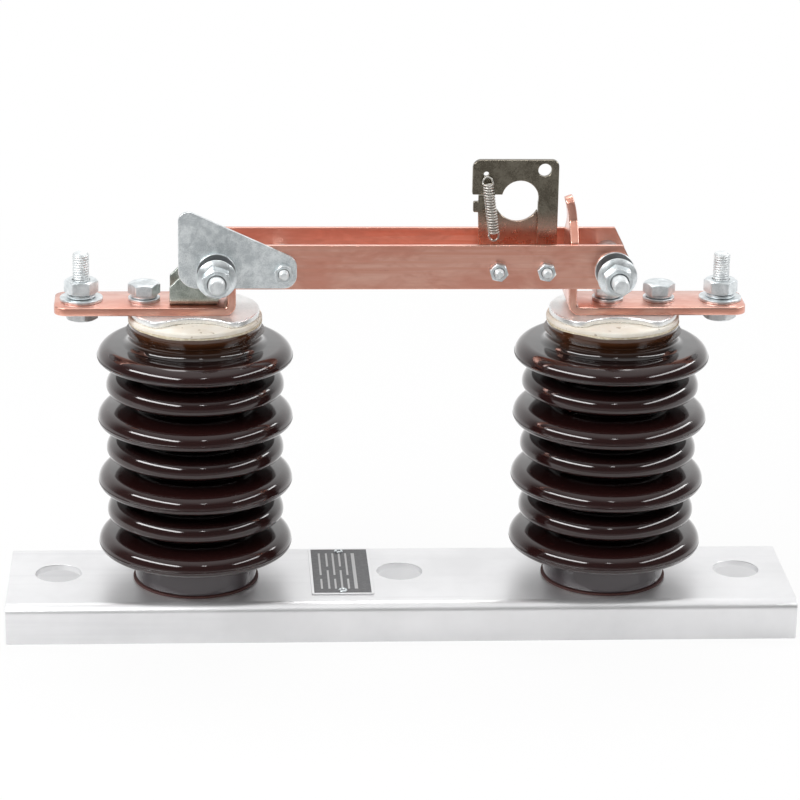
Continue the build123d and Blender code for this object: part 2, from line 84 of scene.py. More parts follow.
forward = Vector((math.sin(yaw) * math.cos(pitch), math.cos(yaw) * math.cos(pitch), -math.sin(pitch)))
level = Vector((math.cos(yaw), -math.sin(yaw), 0))
down = forward.cross(level)
right = math.cos(roll) * level + math.sin(roll) * down
down = math.cos(roll) * down - math.sin(roll) * level
camera = bpy.data.objects.new("camera", bpy.data.cameras.new("camera"))
camera.data.lens = lens_length
camera.data.sensor_width = 36
camera.data.clip_end = 50
axes = Matrix((right, -down, -forward)).transposed()
camera.matrix_world = Matrix.Translation(camera_place) @ axes.to_4x4()
bpy.context.collection.objects.link(camera)
bpy.context.scene.camera = camera
print("camera looks down by", round(math.degrees(pitch), 1), "degrees")

# %% [markdown]
# ## Shader sums in plain Python
# A finish is a graph of nodes, and its maths is easier to read as a sum than as a list of links.
# A small class wraps one output socket, and its operators add the Math nodes.
# Every other node comes from a single method: the node's type, its settings, then its sockets.

# %% Field and Finish
class Field:
    """One output socket, which can be added, multiplied and compared like a number."""

    def __init__(self, finish, socket):
        self.finish, self.socket = finish, socket

    def math(self, operation, *others, clamp=False):
        values = dict(enumerate((self, *others)))
        return self.finish.node("Math", {"operation": operation, "use_clamp": clamp}, values)

    def __add__(self, other):
        return self.math("ADD", other)

    def __sub__(self, other):
        return self.math("SUBTRACT", other)

    def __rsub__(self, other):
        return (self * -1) + other

    def __mul__(self, other):
        return self.math("MULTIPLY", other)

    def __gt__(self, other):
        return self.math("GREATER_THAN", other)

    def __abs__(self):
        return self.math("ABSOLUTE")

    def clamped(self):
        return self.math("ADD", 0.0, clamp=True)

    def step(self, low, high):
        """0 below low, 1 above high, and a smooth rise between them."""
        settings = {"interpolation_type": "SMOOTHSTEP"}
        return self.finish.node("MapRange", settings, {0: self, 1: low, 2: high, 3: 0.0, 4: 1.0})

    __radd__ = __add__
    __rmul__ = __mul__


class Finish:
    """A material or the world under construction, with one method that adds any node."""

    def __init__(self, owner):
        owner.use_nodes = True
        self.owner, self.tree = owner, owner.node_tree
        self.tree.nodes.clear()

    def node(self, kind, settings=None, sockets=None, output=0):
        """Add a shader node, set its settings first, then link or fill its sockets."""
        made = self.tree.nodes.new("ShaderNode" + kind)
        for key, value in (settings or {}).items():
            setattr(made, key, value)
        for key, value in (sockets or {}).items():
            socket = made.inputs[key]
            if isinstance(value, Field):
                self.tree.links.new(value.socket, socket)
            else:
                socket.default_value = (*value, 1) if socket.type == "RGBA" else value
        return Field(self, made.outputs[output]) if made.outputs else made

    def colour(self, share, first, second):
        """Mix two colours by a share from 0 to 1."""
        return self.node("Mix", {"data_type": "RGBA"}, {0: share, 6: first, 7: second}, output=2)

    def place(self):
        return self.node("TexCoord", output="Object")

    def own(self, name, output="Fac"):
        """An attribute that the piece itself carries."""
        return self.node("Attribute", {"attribute_name": name}, output=output)

    def stretched(self, vector, scale):
        return self.node("Mapping", {}, {"Vector": vector, "Scale": scale})

    def noise(self, vector, scale, detail=2.0, rough=0.5, twist=0.0):
        names = ("Vector", "Scale", "Detail", "Roughness", "Distortion")
        return self.node("TexNoise", {}, dict(zip(names, (vector, scale, detail, rough, twist))))

    def parts(self, vector):
        """The three numbers of a vector."""
        split = self.node("SeparateXYZ", {}, {0: vector})
        outputs = split.socket.node.outputs
        return [Field(self, outputs[i]) for i in range(3)]

    def surface(self, height=None, depth=0.0002, **sockets):
        """The Principled shader, with a Bump node when a height is given."""
        values = {key.replace("_", " "): value for key, value in sockets.items()}
        if height is not None:
            bump = {"Height": height, "Distance": depth, "Strength": 1.0}
            values["Normal"] = self.node("Bump", {}, bump)
        shader = self.node("BsdfPrincipled", {}, values)
        self.node("OutputMaterial", {}, {"Surface": shader})
        return self.owner


def new_finish(name):
    return Finish(bpy.data.materials.new(name))


print("shader helpers ready")

# %% [markdown]
# ## Floor, background and light
# The switch was photographed on a white table before a white backdrop, with a dark room behind the camera.
# That difference draws the metal: level faces mirror the backdrop and upright ones the dark room.
# So the table ends a little in front of the switch, where the picture can't tell it from the backdrop, and
# only from the channel's front edge backwards is it lifted to white for reflections. Everywhere it is
# lifted for the camera, wholly so far from the switch, so the lamps needn't be raised, the shadow stays and
# the table has no visible end. Behind the camera the room is darkest above the table's level, which gives
# the glazed lips a dark face and a paler underside. Two long thin boxes at the sides draw the streaks on
# the lips, and a small lamp in front draws the short one between them.

# %% Floor
floor_half_width, floor_front, floor_back = 9.0, -0.40, 9.0
floor_drop = 0.0002
floor_lift = 0.90
lift_rises_from, lift_whole_at = 0.45, 0.95
mirror_front = -0.0475
paper_white = 0.80
pure_white = (1.0, 1.0, 1.0)

floor_mesh = bpy.data.meshes.new("floor")
corners = [(-floor_half_width, floor_front), (floor_half_width, floor_front), (floor_half_width, floor_back),
           (-floor_half_width, floor_back)]
floor_mesh.from_pydata([(x, y, -floor_drop) for x, y in corners], [], [(0, 1, 2, 3)])
floor = bpy.data.objects.new("floor", floor_mesh)
bpy.context.collection.objects.link(floor)
floor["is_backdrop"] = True

pale = new_finish("pale_floor")
mirrored = pale.node("LightPath", output="Is Glossy Ray") * (pale.parts(pale.place())[1] > mirror_front)
seen = (pale.node("LightPath", output="Is Camera Ray") + mirrored).clamped()
matte = pale.node("BsdfDiffuse", {}, {"Color": (paper_white,) * 3})
white = pale.node("Emission", {}, {"Color": pure_white, "Strength": 1.0})
distance = pale.node("VectorMath", {"operation": "LENGTH"}, {0: pale.place()}, output=1)
far = distance.step(lift_rises_from, lift_whole_at)
both = pale.node("MixShader", {}, {0: seen * (far * (1 - floor_lift) + floor_lift), 1: matte, 2: white})
pale.node("OutputMaterial", {}, {"Surface": both})
floor_mesh.materials.append(pale.owner)
print("floor starts", -floor_front, "m in front")

# %% World and lamps
room_dark, room_dim, room_bright = 0.12, 0.46, 0.92
aim = Vector((0, 0, 0.14))

world = bpy.data.worlds.new("studio")
bpy.context.scene.world = world
studio = Finish(world)
seen = studio.node("LightPath", output="Is Camera Ray")
across, backwards, upwards = studio.parts(studio.node("TexCoord", output="Generated"))
lit = (backwards.step(0.20, 0.70) + upwards.step(0.55, 0.95)).clamped()
behind_camera = upwards.step(-0.12, 0.10) * (room_dark - room_dim) + room_dim
strength = lit * room_bright + (1 - lit) * behind_camera
room = studio.node("Background", {}, {"Color": pure_white, "Strength": strength})
white = studio.node("Background", {}, {"Color": pure_white, "Strength": 1.0})
both = studio.node("MixShader", {}, {0: seen, 1: room, 2: white})
studio.node("OutputWorld", {}, {"Surface": both})

bpy.context.scene.view_settings.view_transform = "Standard"


def soft_box(name, azimuth, elevation, distance, width, height, radiance):
    """An area lamp aimed at the middle of the switch. Watts = pi x area x radiance."""
    a, e = math.radians(azimuth), math.radians(elevation)
    out = Vector((math.sin(a) * math.cos(e), -math.cos(a) * math.cos(e), math.sin(e)))
    lamp = bpy.data.lights.new(name, "AREA")
    lamp.shape, lamp.size, lamp.size_y = "RECTANGLE", width, height
    lamp.energy = math.pi * width * height * radiance
    holder = bpy.data.objects.new(name, lamp)
    turn = out.to_track_quat("Z", "Y").to_matrix().to_4x4()
    holder.matrix_world = Matrix.Translation(aim + out * distance) @ turn
    bpy.context.collection.objects.link(holder)


soft_box("left_box", -58, 36, 1.7, 1.80, 0.26, 14)
soft_box("right_box", 84, 34, 1.6, 2.20, 0.17, 9)
soft_box("front_lamp", 6, 42, 2.0, 0.13, 0.10, 22)
soft_box("top_box", 180, 62, 1.8, 0.9, 0.5, 4)
print("four soft lamps and a white room")

# %% [markdown]
# ## Surfaces as arrays
# Each piece is a closed shell: a grid of points worked out from two parameters, with its rims filled.
# A shell holds its points, its faces (a triangle has -1 as its last corner), which faces are smooth,
# a number called rim that is 1 on rounded edges and below 0 where painted shade darkens the metal, and the
# grain, the place measured along the piece.

# %% Shell helpers
millimetres = 1000


def as_faces(triangles):
    """Triangles as rows of four, with -1 in the last place."""
    return np.hstack([triangles, np.full((len(triangles), 1), -1)])


def turned_over(faces):
    """The same faces seen from their other side."""
    return np.where(faces[:, 3:] < 0, faces[:, [0, 2, 1, 3]], faces[:, [0, 3, 2, 1]])


def grid_faces(rows, columns, wrap_rows=False):
    """The quads of a grid of points, numbered row by row. Its rows are rings, and they may close too."""
    i = np.arange(rows if wrap_rows else rows - 1)[:, None]
    j = np.arange(columns)[None, :]
    up, along = (i + 1) % rows, (j + 1) % columns
    corners = [i * columns + j, i * columns + along, up * columns + along, up * columns + j]
    return np.stack([c + 0 * i + 0 * j for c in corners], axis=-1).reshape(-1, 4)


def end_fans(rows, columns):
    """Triangles from each end ring's first point, which close a grid at its first and its last row."""
    around = np.arange(1, columns - 1)
    first = np.column_stack([0 * around, around + 1, around])
    last = np.column_stack([0 * around, around, around + 1]) + (rows - 1) * columns
    return as_faces(np.vstack([first, last]))


class Shell:
    """Points in millimetres with faces. Points in one place become one, and flat quads triangles. Smooth
    marks the smooth faces, or says how many of the first ones are smooth."""

    def __init__(self, points, faces, smooth, rim=None, grain=None):
        points = np.asarray(points, float).reshape(-1, 3)
        rim = np.zeros(len(points)) if rim is None else np.asarray(rim, float).ravel()
        grain = points if grain is None else np.asarray(grain, float).reshape(-1, 3)
        _, first, where = np.unique(np.round(points, 4), axis=0, return_index=True, return_inverse=True)
        where = np.append(where.ravel(), -1)
        faces = where[np.asarray(faces, int)]
        smooth = np.asarray(smooth, bool) if np.ndim(smooth) else np.arange(len(faces)) < smooth
        after = np.where(faces[:, 3:] < 0, faces[:, :1], faces[:, 3:])
        ring = np.hstack([faces[:, :3], after])
        repeat = ring == np.roll(ring, -1, axis=1)
        repeat[faces[:, 3] < 0, 3] = False
        whole = repeat.sum(axis=1) == 0
        pinched = (repeat.sum(axis=1) == 1) & (faces[:, 3] >= 0)
        kept = ring[pinched][~repeat[pinched]].reshape(-1, 3)
        self.points, self.rim, self.grain = points[first], rim[first], grain[first]
        self.faces = np.vstack([faces[whole], as_faces(kept)]).astype(int)
        self.smooth = np.concatenate([smooth[whole], smooth[pinched]])
        if self.volume() < 0:
            self.faces = turned_over(self.faces)

    def volume(self):
        """The sum over triangles of first . (second x third) / 6, positive when faces point outwards."""
        quads = self.faces[self.faces[:, 3] >= 0]
        triangles = np.vstack([self.faces[:, :3], quads[:, [0, 2, 3]]])
        a, b, c = (self.points[triangles[:, k]] for k in range(3))
        return float(np.einsum("ij,ij->i", a, np.cross(b, c)).sum() / 6)

    def moved(self, function):
        """The same shell with its points carried elsewhere by a function of the whole array."""
        self.points = function(self.points)
        if self.volume() < 0:
            return Shell(self.points, self.faces, self.smooth, self.rim, self.grain)
        return self


print("shells ready")


def make_piece(node, shells, finish, body="frame"):
    """One mesh from closed shells, in metres, which rides on its body, if it has one, in its node's place."""
    shells = shells if isinstance(shells, (list, tuple)) else [shells]
    starts = np.cumsum([0] + [len(s.points) for s in shells])
    faces = np.vstack([np.where(s.faces < 0, -1, s.faces + n) for s, n in zip(shells, starts)])
    points = np.vstack([s.points for s in shells]) / millimetres
    totals = np.where(faces[:, 3] < 0, 3, 4)
    corners = faces.ravel()[faces.ravel() >= 0]
    mesh = bpy.data.meshes.new(node + "_fine")
    mesh.vertices.add(len(points))
    mesh.loops.add(len(corners))
    mesh.polygons.add(len(faces))
    mesh.vertices.foreach_set("co", points.astype(np.float32).ravel())
    mesh.loops.foreach_set("vertex_index", corners.astype(np.int32))
    mesh.polygons.foreach_set("loop_start", np.cumsum(np.append(0, totals[:-1])).astype(np.int32))
    mesh.update(calc_edges=True)
    mesh.polygons.foreach_set("use_smooth", np.concatenate([s.smooth for s in shells]))
    rims = np.concatenate([s.rim for s in shells])
    lengths = np.vstack([s.grain for s in shells]) / millimetres
    fields = (("rim", "FLOAT", "value", rims), ("grain", "FLOAT_VECTOR", "vector", lengths))
    for name, kind, key, values in fields:
        own = mesh.attributes.new(name, kind, "POINT")
        own.data.foreach_set(key, values.astype(np.float32).ravel())
    mesh.update()
    mesh.materials.append(finish)
    piece = bpy.data.objects.new(mesh.name, mesh)
    bpy.context.collection.objects.link(piece)
    if body:
        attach(piece, body)
    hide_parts(node)
    print(f"{piece.name}: {(totals - 2).sum()} triangles")
    return piece


# %% [markdown]
# ## Lines to build on
# Outlines and bent paths are straight runs with round corners, so one function turns rows of a place and
# a radius into a line of points, and another samples a plain arc.

# %% Rounded lines and arcs
def arc(centre, radius, start, end, step=6.0):
    """Points on a circle from one angle in degrees to another, about a step apart."""
    count = max(2, int(abs(end - start) / step) + 1)
    angle = np.radians(np.linspace(start, end, count))
    return np.column_stack([centre[0] + radius * np.cos(angle), centre[1] + radius * np.sin(angle)])


def rounded(rows, closed=True, step=9.0):
    """Rows of two places and a radius. Each corner becomes an arc that touches both its sides, with its
    centre on the corner's halving line."""
    rows, runs = np.asarray(rows, float), []
    corners, radii = rows[:, :2], rows[:, 2]
    for k, radius in enumerate(radii):
        here = corners[k]
        if radius <= 0 or (not closed and k in (0, len(corners) - 1)):
            runs.append(here[None])
            continue
        back, on = corners[k - 1] - here, corners[(k + 1) % len(corners)] - here
        back, on = back / np.hypot(*back), on / np.hypot(*on)
        half = math.acos(np.clip(back @ on, -1, 1)) / 2
        middle = (back + on) / np.hypot(*(back + on))
        centre = here + middle * radius / math.sin(half)
        first = here + back * radius / math.tan(half) - centre
        turn = (math.pi - 2 * half) * (-1 if back[0] * on[1] - back[1] * on[0] > 0 else 1)
        start = math.atan2(first[1], first[0])
        runs.append(arc(centre, radius, math.degrees(start), math.degrees(start + turn), step))
    return np.vstack(runs)


def distances(path):
    """How far along an open line each of its points lies."""
    return np.append(0, np.cumsum(np.hypot(*np.diff(path, axis=0).T)))


def resampled(path, step):
    """The same open line with points an even step apart."""
    along = distances(path)
    even = np.linspace(0, along[-1], int(along[-1] / step) + 2)
    return np.column_stack([np.interp(even, along, path[:, k]) for k in range(2)])


def side_normals(path, closed):
    """The mitred normal at every point: the sum of both sides' normals over 1 plus their product."""
    ahead = np.roll(path, -1, axis=0) - path
    behind = path - np.roll(path, 1, axis=0)
    if not closed:
        ahead[-1], behind[0] = behind[-1], ahead[0]
    normals = [np.column_stack([d[:, 1], -d[:, 0]]) / np.hypot(*d.T)[:, None] for d in (ahead, behind)]
    product = (normals[0] * normals[1]).sum(axis=1)
    return (normals[0] + normals[1]) / (1 + product)[:, None]


def in_xz(a, b, c):
    """a and b are x and z, and c is the depth y."""
    return np.stack([a, c, b], axis=-1)


def in_yz(a, b, c):
    return np.stack([c, a, b], axis=-1)


def in_xy(a, b, c):
    return np.stack([a, b, c], axis=-1)


print("a rounded square has", len(rounded([(0, 0, 1), (9, 0, 1), (9, 9, 1), (0, 9, 1)])), "points")

# %% [markdown]
# ## Three ways to make metal
# Flat parts are plates: an outline with holes whose edges are rolled over by a quarter circle, front and
# back. Bent parts are strips: a rounded rectangle carried along a bent line, as wide at each place as the
# blank. Round parts are turned, as on a lathe. Real sheared sheet and drawn bar have just such soft edges,
# and it is the thin bright line on an edge that makes metal look like metal.

# %% Plates
edge_steps = 3


def edge_walk(edge):
    """Inset and depth round a rolled edge: edge x (1 - sin), edge x (1 - cos) of a turning angle."""
    t = np.radians(np.linspace(0, 90, edge_steps + 1))
    return edge * (1 - np.sin(t)), edge * (1 - np.cos(t)), np.sin(2 * t)


def wall(loop, low, high, edge, lift):
    """The rolled side of a plate along one loop: loop - normal x inset, at each depth."""
    inset, depth, shine = edge_walk(edge)
    inset = np.concatenate([inset, inset[::-1]])[:, None]
    depth = np.concatenate([low + depth, high - depth[::-1]])[:, None]
    rim = np.concatenate([shine, shine[::-1]])[:, None] + 0 * loop[:, 0]
    normals = side_normals(loop, closed=True)
    a, b = (loop[:, k] - normals[:, k] * inset for k in range(2))
    return lift(a, b, depth + 0 * a), rim


def fill(loops, upwards):
    """Triangles between the first loop and the holes, all turned the same way in the plane."""
    flat = np.vstack(loops)
    t = np.array(tessellate_polygon([[Vector((x, y, 0)) for x, y in loop] for loop in loops]))
    p, q, r = (flat[t[:, k]] for k in range(3))
    area = (q[:, 0] - p[:, 0]) * (r[:, 1] - p[:, 1]) - (q[:, 1] - p[:, 1]) * (r[:, 0] - p[:, 0])
    wrong = (area > 0) != upwards
    t[wrong] = t[wrong][:, ::-1]
    return t


def counter_clockwise(loop):
    """The loop without repeated points, turned round if its cross products say that it runs clockwise."""
    gaps = np.hypot(*(loop - np.roll(loop, 1, axis=0)).T)
    loop = loop[gaps > 0.01]
    x, y = loop.T
    area = (x * np.roll(y, -1) - np.roll(x, -1) * y).sum()
    return loop if area > 0 else loop[::-1]


def walls_and_lids(loops, low, high, edge, lift, start=0, outer=((), ())):
    """The walls of the loops, numbered from start, and the lower and upper face between them. A face that
    has its outer ring already is given it as numbers and places."""
    points, rims, faces, rings = [], [], [], [list(ring) for ring in outer]
    for loop in loops:
        grid, rim = wall(loop, low, high, edge, lift)
        rows, columns = rim.shape
        inset = loop - side_normals(loop, closed=True) * edge
        for level, row in enumerate((0, rows - 1)):
            rings[level].append((start + row * columns + np.arange(columns), inset))
        points.append(grid.reshape(-1, 3))
        rims.append(rim.ravel())
        faces.append(grid_faces(rows, columns) + start)
        start += rows * columns
    for ring, upwards in zip(rings, (False, True)):
        numbers, places = zip(*ring)
        faces.append(as_faces(np.concatenate(numbers)[fill(places, upwards)]))
    return np.vstack(points), np.concatenate(rims), faces


def plate(outline, low, high, edge, lift, holes=()):
    """A flat plate, whose walls are smooth and whose two faces are flat."""
    loops = [counter_clockwise(outline)] + [counter_clockwise(h)[::-1] for h in holes]
    points, rims, faces = walls_and_lids(loops, low, high, edge, lift)
    return Shell(points, np.vstack(faces), sum(len(f) for f in faces[:-2]), rims)


print("plates ready")

# %% Strips
def strip(path, sides, thickness, edge, lift, window=None):
    """A sheet bent along a line: path + normal x v + side x u, where u and v run round a rounded
    rectangle, and sides(s) gives both sides of the blank at the distance s along it."""
    turn, sink, _ = edge_walk(edge)
    first, last = path[1] - path[0], path[-1] - path[-2]
    first, last = first / np.hypot(*first), last / np.hypot(*last)
    along = distances(path)
    inner = path[(along > 1.3 * edge) & (along < along[-1] - 1.3 * edge)]
    rows = np.vstack([path[0] + first * sink[:, None], inner, path[-1] - last * sink[::-1, None]])
    inset = np.concatenate([turn, np.zeros(len(inner)), turn[::-1]])[:, None]
    s = distances(rows)
    normals = -side_normals(rows, closed=False)
    low, high = (np.broadcast_to(x, s.shape) for x in sides(s))
    quarter = np.linspace(0, 90, edge_steps + 1)
    angle = np.radians(np.concatenate([quarter + 90 * k for k in range(4)]))
    sign_u = np.repeat([1, -1, -1, 1], edge_steps + 1)
    sign_v = np.repeat([1, 1, -1, -1], edge_steps + 1)
    half, middle = ((high - low) / 2)[:, None], ((high + low) / 2)[:, None]
    u = middle + sign_u * (half - edge) + (edge - inset) * np.cos(angle)
    v = sign_v * (thickness / 2 - edge) + (edge - inset) * np.sin(angle)
    a, b = (rows[:, k][:, None] + normals[:, k][:, None] * v for k in range(2))
    grid = lift(a, b, u)
    n, m = u.shape
    faces = grid_faces(n, m)
    rolled = np.abs(np.sin(2 * angle)) + 0 * u
    rolled = np.maximum(rolled, np.sin(np.pi * np.clip(inset / edge, 0, 1)) + 0 * u)
    extra, extra_points = [], [grid.reshape(-1, 3)]
    if window:
        extra, extra_points, faces = window(grid, faces, n, m)
    every = np.vstack([faces, end_fans(n, m), *extra])
    points = np.vstack(extra_points)
    grain = np.vstack([np.stack([s[:, None] + 0 * u, u, v], axis=-1).reshape(-1, 3), points[n * m:]])
    rims = np.append(rolled.ravel(), np.zeros(len(points) - n * m))
    return Shell(points, every, len(faces), rims, grain)


print("strips ready")

# %% Turned parts
def full_turn(segments):
    return np.linspace(0, 2 * np.pi, segments, endpoint=False)[None, :]


def about_axis(r, angle, z):
    """Points at a radius and an angle round the vertical axis, and at a height."""
    return np.stack(np.broadcast_arrays(r * np.cos(angle), r * np.sin(angle), z), axis=-1)


def turned(profile, segments=64, closed=False, wave=None, centre=(0, 0)):
    """A profile of radius and height carried round the vertical axis, with an optional small wave."""
    profile = np.asarray(profile, float)
    angle, r, z = full_turn(segments), profile[:, :1], profile[:, 1:]
    if wave:
        r = r + wave(angle, z) * (r > 0)
    grid = about_axis(r, angle, z) + (*centre, 0)
    faces = grid_faces(len(profile), segments, wrap_rows=closed)
    return Shell(grid, faces, len(faces))


def ring_profile(inner, outer, low, high, edge, step=30):
    """The section of a washer or bush with its four edges rounded."""
    corners = [(inner, low, edge), (outer, low, edge), (outer, high, edge), (inner, high, edge)]
    return rounded(corners, step=step)


def washer(inner, outer, low, height, edge=0.35):
    return turned(ring_profile(inner, outer, low, low + height, edge), closed=True)


print("a washer has", len(washer(5, 10, 0, 2).points), "points")

# %% [markdown]
# ## Finishes: copper
# The bars are drawn copper: pink-brown faces with fine streaks along the bar, darker tarnish where hands
# and oil have been, and edges painted a paler peach, partly worn bright and partly a painted highlight. The
# streaks are a noise stretched along the grain that each shell carries, so they turn the corner with the bar,
# which Object coordinates couldn't do.

# %% Copper
def copper_finish():
    made = new_finish("drawn_copper")
    grain = made.own("grain", "Vector")
    streaks = made.noise(made.stretched(grain, (7, 420, 420)), 1.0, 4.0, 0.6)
    fine = made.noise(made.stretched(grain, (30, 1500, 1500)), 1.0, 2.0, 0.6)
    blotch = made.noise(made.stretched(grain, (1.0, 2.2, 2.2)), 34.0, 3.0, 0.62, 0.4)
    tarnish = (blotch * 0.8 + streaks * 0.45).step(0.52, 0.74)
    edge = made.own("rim").step(0.25, 0.95)
    tone = made.colour(streaks.step(0.30, 0.72), (0.84, 0.375, 0.270), (0.99, 0.580, 0.460))
    tone = made.colour(tarnish * 0.7, tone, (0.68, 0.265, 0.185))
    # Painted highlight and wear: rounded edges are painted a paler peach.
    tone = made.colour(edge * 0.35, tone, (0.98, 0.74, 0.64))
    rough = streaks * 0.12 + blotch * 0.10 + 0.20 + tarnish * 0.10 - edge * 0.08
    height = streaks * 0.6 + fine * 0.4
    return made.surface(height, 0.00004, Base_Color=tone, Metallic=1.0, Roughness=rough, Coat_Weight=1.0,
                        Coat_Roughness=0.25)


copper = copper_finish()
print("copper:", len(copper.node_tree.nodes), "nodes")

# %% [markdown]
# ## Finishes: zinc, steel and the pull ring's dark plate
# Hot-dipped channel is pale and almost even, with a faint spangle and rolling lines along its length.
# Plated sheet is bluish grey and cloudy. The folded bracket's sheet is painted darker and greener, as painted
# shade, because its front ear stands in shadow. Plated nuts are brighter and smoother than studs, whose cut
# threads are rough. The pull ring's plates are passivated to a dark olive that still mirrors the copper
# beside it, so it stays a metal, and near their foot a warm copper colour is painted on as a painted
# reflection of the blades.

# %% Zinc and steel
def galvanized_finish():
    made = new_finish("galvanized_channel")
    place = made.place()
    spangle = made.node("TexVoronoi", {"feature": "F1"}, {"Vector": place, "Scale": 160.0})
    rolled = made.noise(made.stretched(place, (3, 90, 90)), 1.0, 3.0, 0.6)
    cloud = made.noise(place, 16.0, 4.0, 0.6)
    tone = made.colour(cloud.step(0.3, 0.7), (0.82, 0.82, 0.83), (0.90, 0.90, 0.91))
    tone = made.colour(rolled.step(0.5, 0.8) * 0.35, tone, (0.68, 0.68, 0.70))
    rough = cloud * 0.12 + rolled * 0.10 + 0.26
    height = rolled * 0.5 + spangle * 0.12
    return made.surface(height, 0.00006, Base_Color=tone, Metallic=0.75, Roughness=rough)


def plated_finish(name, dark, light, metal, low_rough, cloud_scale, cloud_share=0.5, copper_reflection_below=None):
    """Cloudy plating: two sizes of noise blend a darker and a lighter tone. Below the given height, in
    metres, a warm copper colour is painted on as a painted reflection of the blades. A rim below 0 darkens
    the colour towards near-black, which is painted shade on washer faces, bores and recesses. Rounded edges
    are painted lighter, partly as wear and partly as a painted highlight."""
    made = new_finish(name)
    place = made.place()
    cloud = made.noise(place, cloud_scale, 4.0, 0.62, 0.3)
    grit = made.noise(place, cloud_scale * 9, 3.0, 0.6)
    edge = made.own("rim").step(0.3, 0.95)
    mixed = (cloud * (1 - cloud_share) + grit * cloud_share).step(0.36, 0.64)
    tone = made.colour(mixed, dark, light)
    # Painted shade: a rim below 0 darkens the colour towards near-black.
    tone = made.colour((made.own("rim") * -1).clamped(), tone, (0.16, 0.16, 0.165))
    # Painted reflection: below the given height the plate is painted copper-brown, as the blades' reflection.
    if copper_reflection_below:
        copper_reflection_share = 1 - (made.parts(place)[2] + cloud * 0.008).step(copper_reflection_below, copper_reflection_below + 0.022)
        tone = made.colour(copper_reflection_share * 0.9, tone, (0.88, 0.54, 0.42))
    # Painted highlight and wear: rounded edges are painted lighter.
    tone = made.colour(edge * 0.5, tone, tuple(min(1.0, c * 1.15) for c in light))
    rough = cloud * 0.22 + grit * 0.10 + low_rough - edge * 0.08
    return made.surface(grit, 0.00003, Base_Color=tone, Metallic=metal, Roughness=rough)


galvanized = galvanized_finish()
zinc_sheet = plated_finish("plated_sheet", (0.60, 0.645, 0.665), (0.94, 0.98, 0.99), 0.80, 0.26, 190.0, 0.45)
# Painted shade: the bracket's sheet is the plated sheet painted darker and greener, because its front ear
# stands in shadow.
shade_darkened_sheet = plated_finish("shade_darkened_sheet", (0.27, 0.305, 0.27), (0.55, 0.59, 0.545), 0.90, 0.24, 190.0)
cast_zinc = plated_finish("cast_cap", (0.81, 0.82, 0.81), (0.95, 0.96, 0.955), 0.70, 0.18, 90.0)
nut_zinc = plated_finish("plated_fasteners", (0.65, 0.695, 0.71), (0.88, 0.92, 0.935), 0.94, 0.20, 200.0, 0.3)
stud_zinc = plated_finish("plated_studs", (0.66, 0.69, 0.70), (0.88, 0.905, 0.91), 0.70, 0.36, 200.0, 0.3)
dark_plate = plated_finish("olive_plate", (0.135, 0.118, 0.090), (0.265, 0.240, 0.190), 1.0, 0.12, 150.0,
                           copper_reflection_below=0.243)
wire = plated_finish("spring_wire", (0.52, 0.50, 0.46), (0.74, 0.72, 0.68), 1.0, 0.20, 300.0)
print("nine metal finishes")

# %% [markdown]
# ## Finishes: glaze, bare porcelain, gasket and nameplate
# The brown glaze is a dark glassy coat over clay. It runs thin on the lips and the head, where the colour
# warms to red and amber, and it ends in a wavy line below the bare, beige top of the head. Round the
# foot the colour is painted a paler grey, a painted reflection of the channel. The shader's coat is that
# glass: its weight is one on the glaze and none on the bare clay.

# %% Glaze and bare clay
glaze_end = 0.1896

def glaze_finish():
    made = new_finish("brown_glaze")
    place = made.place()
    z = made.parts(place)[2]
    thin = made.own("rim")
    cloud = made.noise(place, 26.0, 3.0, 0.55)
    pits = made.noise(place, 420.0, 2.0, 0.5)
    thinness = (thin + cloud * 0.5 - 0.25).clamped()
    tone = made.colour(thinness, (0.0070, 0.0035, 0.0035), (0.020, 0.0060, 0.0056))
    head = (z + cloud * 0.004).step(0.178, 0.188)
    tone = made.colour(head * 0.85, tone, (0.085, 0.030, 0.011))
    line = made.noise(made.stretched(place, (1, 1, 0)), 34.0, 2.0, 0.5)
    bare = (z + (line - 0.5) * 0.0032).step(glaze_end, glaze_end + 0.00025)
    clay = made.colour(pits.step(0.42, 0.66), (0.60, 0.52, 0.38), (0.74, 0.68, 0.54))
    tone = made.colour(bare, tone, clay)
    # Painted reflection: below about 45 mm the glaze is painted a paler grey, as the channel's reflection.
    above_channel_reflection = (z + cloud * 0.004).step(0.041, 0.047)
    tone = made.colour(above_channel_reflection, (0.072, 0.058, 0.064), tone)
    swell = made.noise(place, 75.0, 2.0, 0.5)
    height = swell * 0.8 + pits * 0.02
    rough = bare * 0.6 + 0.10
    return made.surface(height, 0.00022, Base_Color=tone, Roughness=rough, Specular_IOR_Level=0.15,
                        Coat_Weight=1 - bare, Coat_Roughness=0.10)


def clay_finish():
    made = new_finish("bare_porcelain")
    place = made.place()
    cloud = made.noise(place, 60.0, 4.0, 0.6)
    grit = made.noise(place, 700.0, 3.0, 0.7)
    specks = made.noise(place, 260.0, 1.0, 0.5).step(0.68, 0.74)
    tone = made.colour(cloud.step(0.3, 0.7), (0.84, 0.77, 0.66), (0.92, 0.88, 0.80))
    tone = made.colour(specks * 0.6, tone, (0.34, 0.24, 0.14))
    return made.surface(grit, 0.00012, Base_Color=tone, Roughness=0.85)


def gasket_finish():
    made = new_finish("gasket_board")
    grit = made.noise(made.place(), 500.0, 3.0, 0.6)
    tone = made.colour(grit, (0.042, 0.015, 0.013), (0.100, 0.032, 0.027))
    return made.surface(grit, 0.0001, Base_Color=tone, Roughness=0.7)


glaze, bare_clay, gasket_board = glaze_finish(), clay_finish(), gasket_finish()
print("glaze ends at", glaze_end, "m")

# %% [markdown]
# The plate's printing is left off: its dark field keeps a bare border and carries only ruled lines,
# like a blank form. Each group of rules is a distance along the plate folded by a repeat.

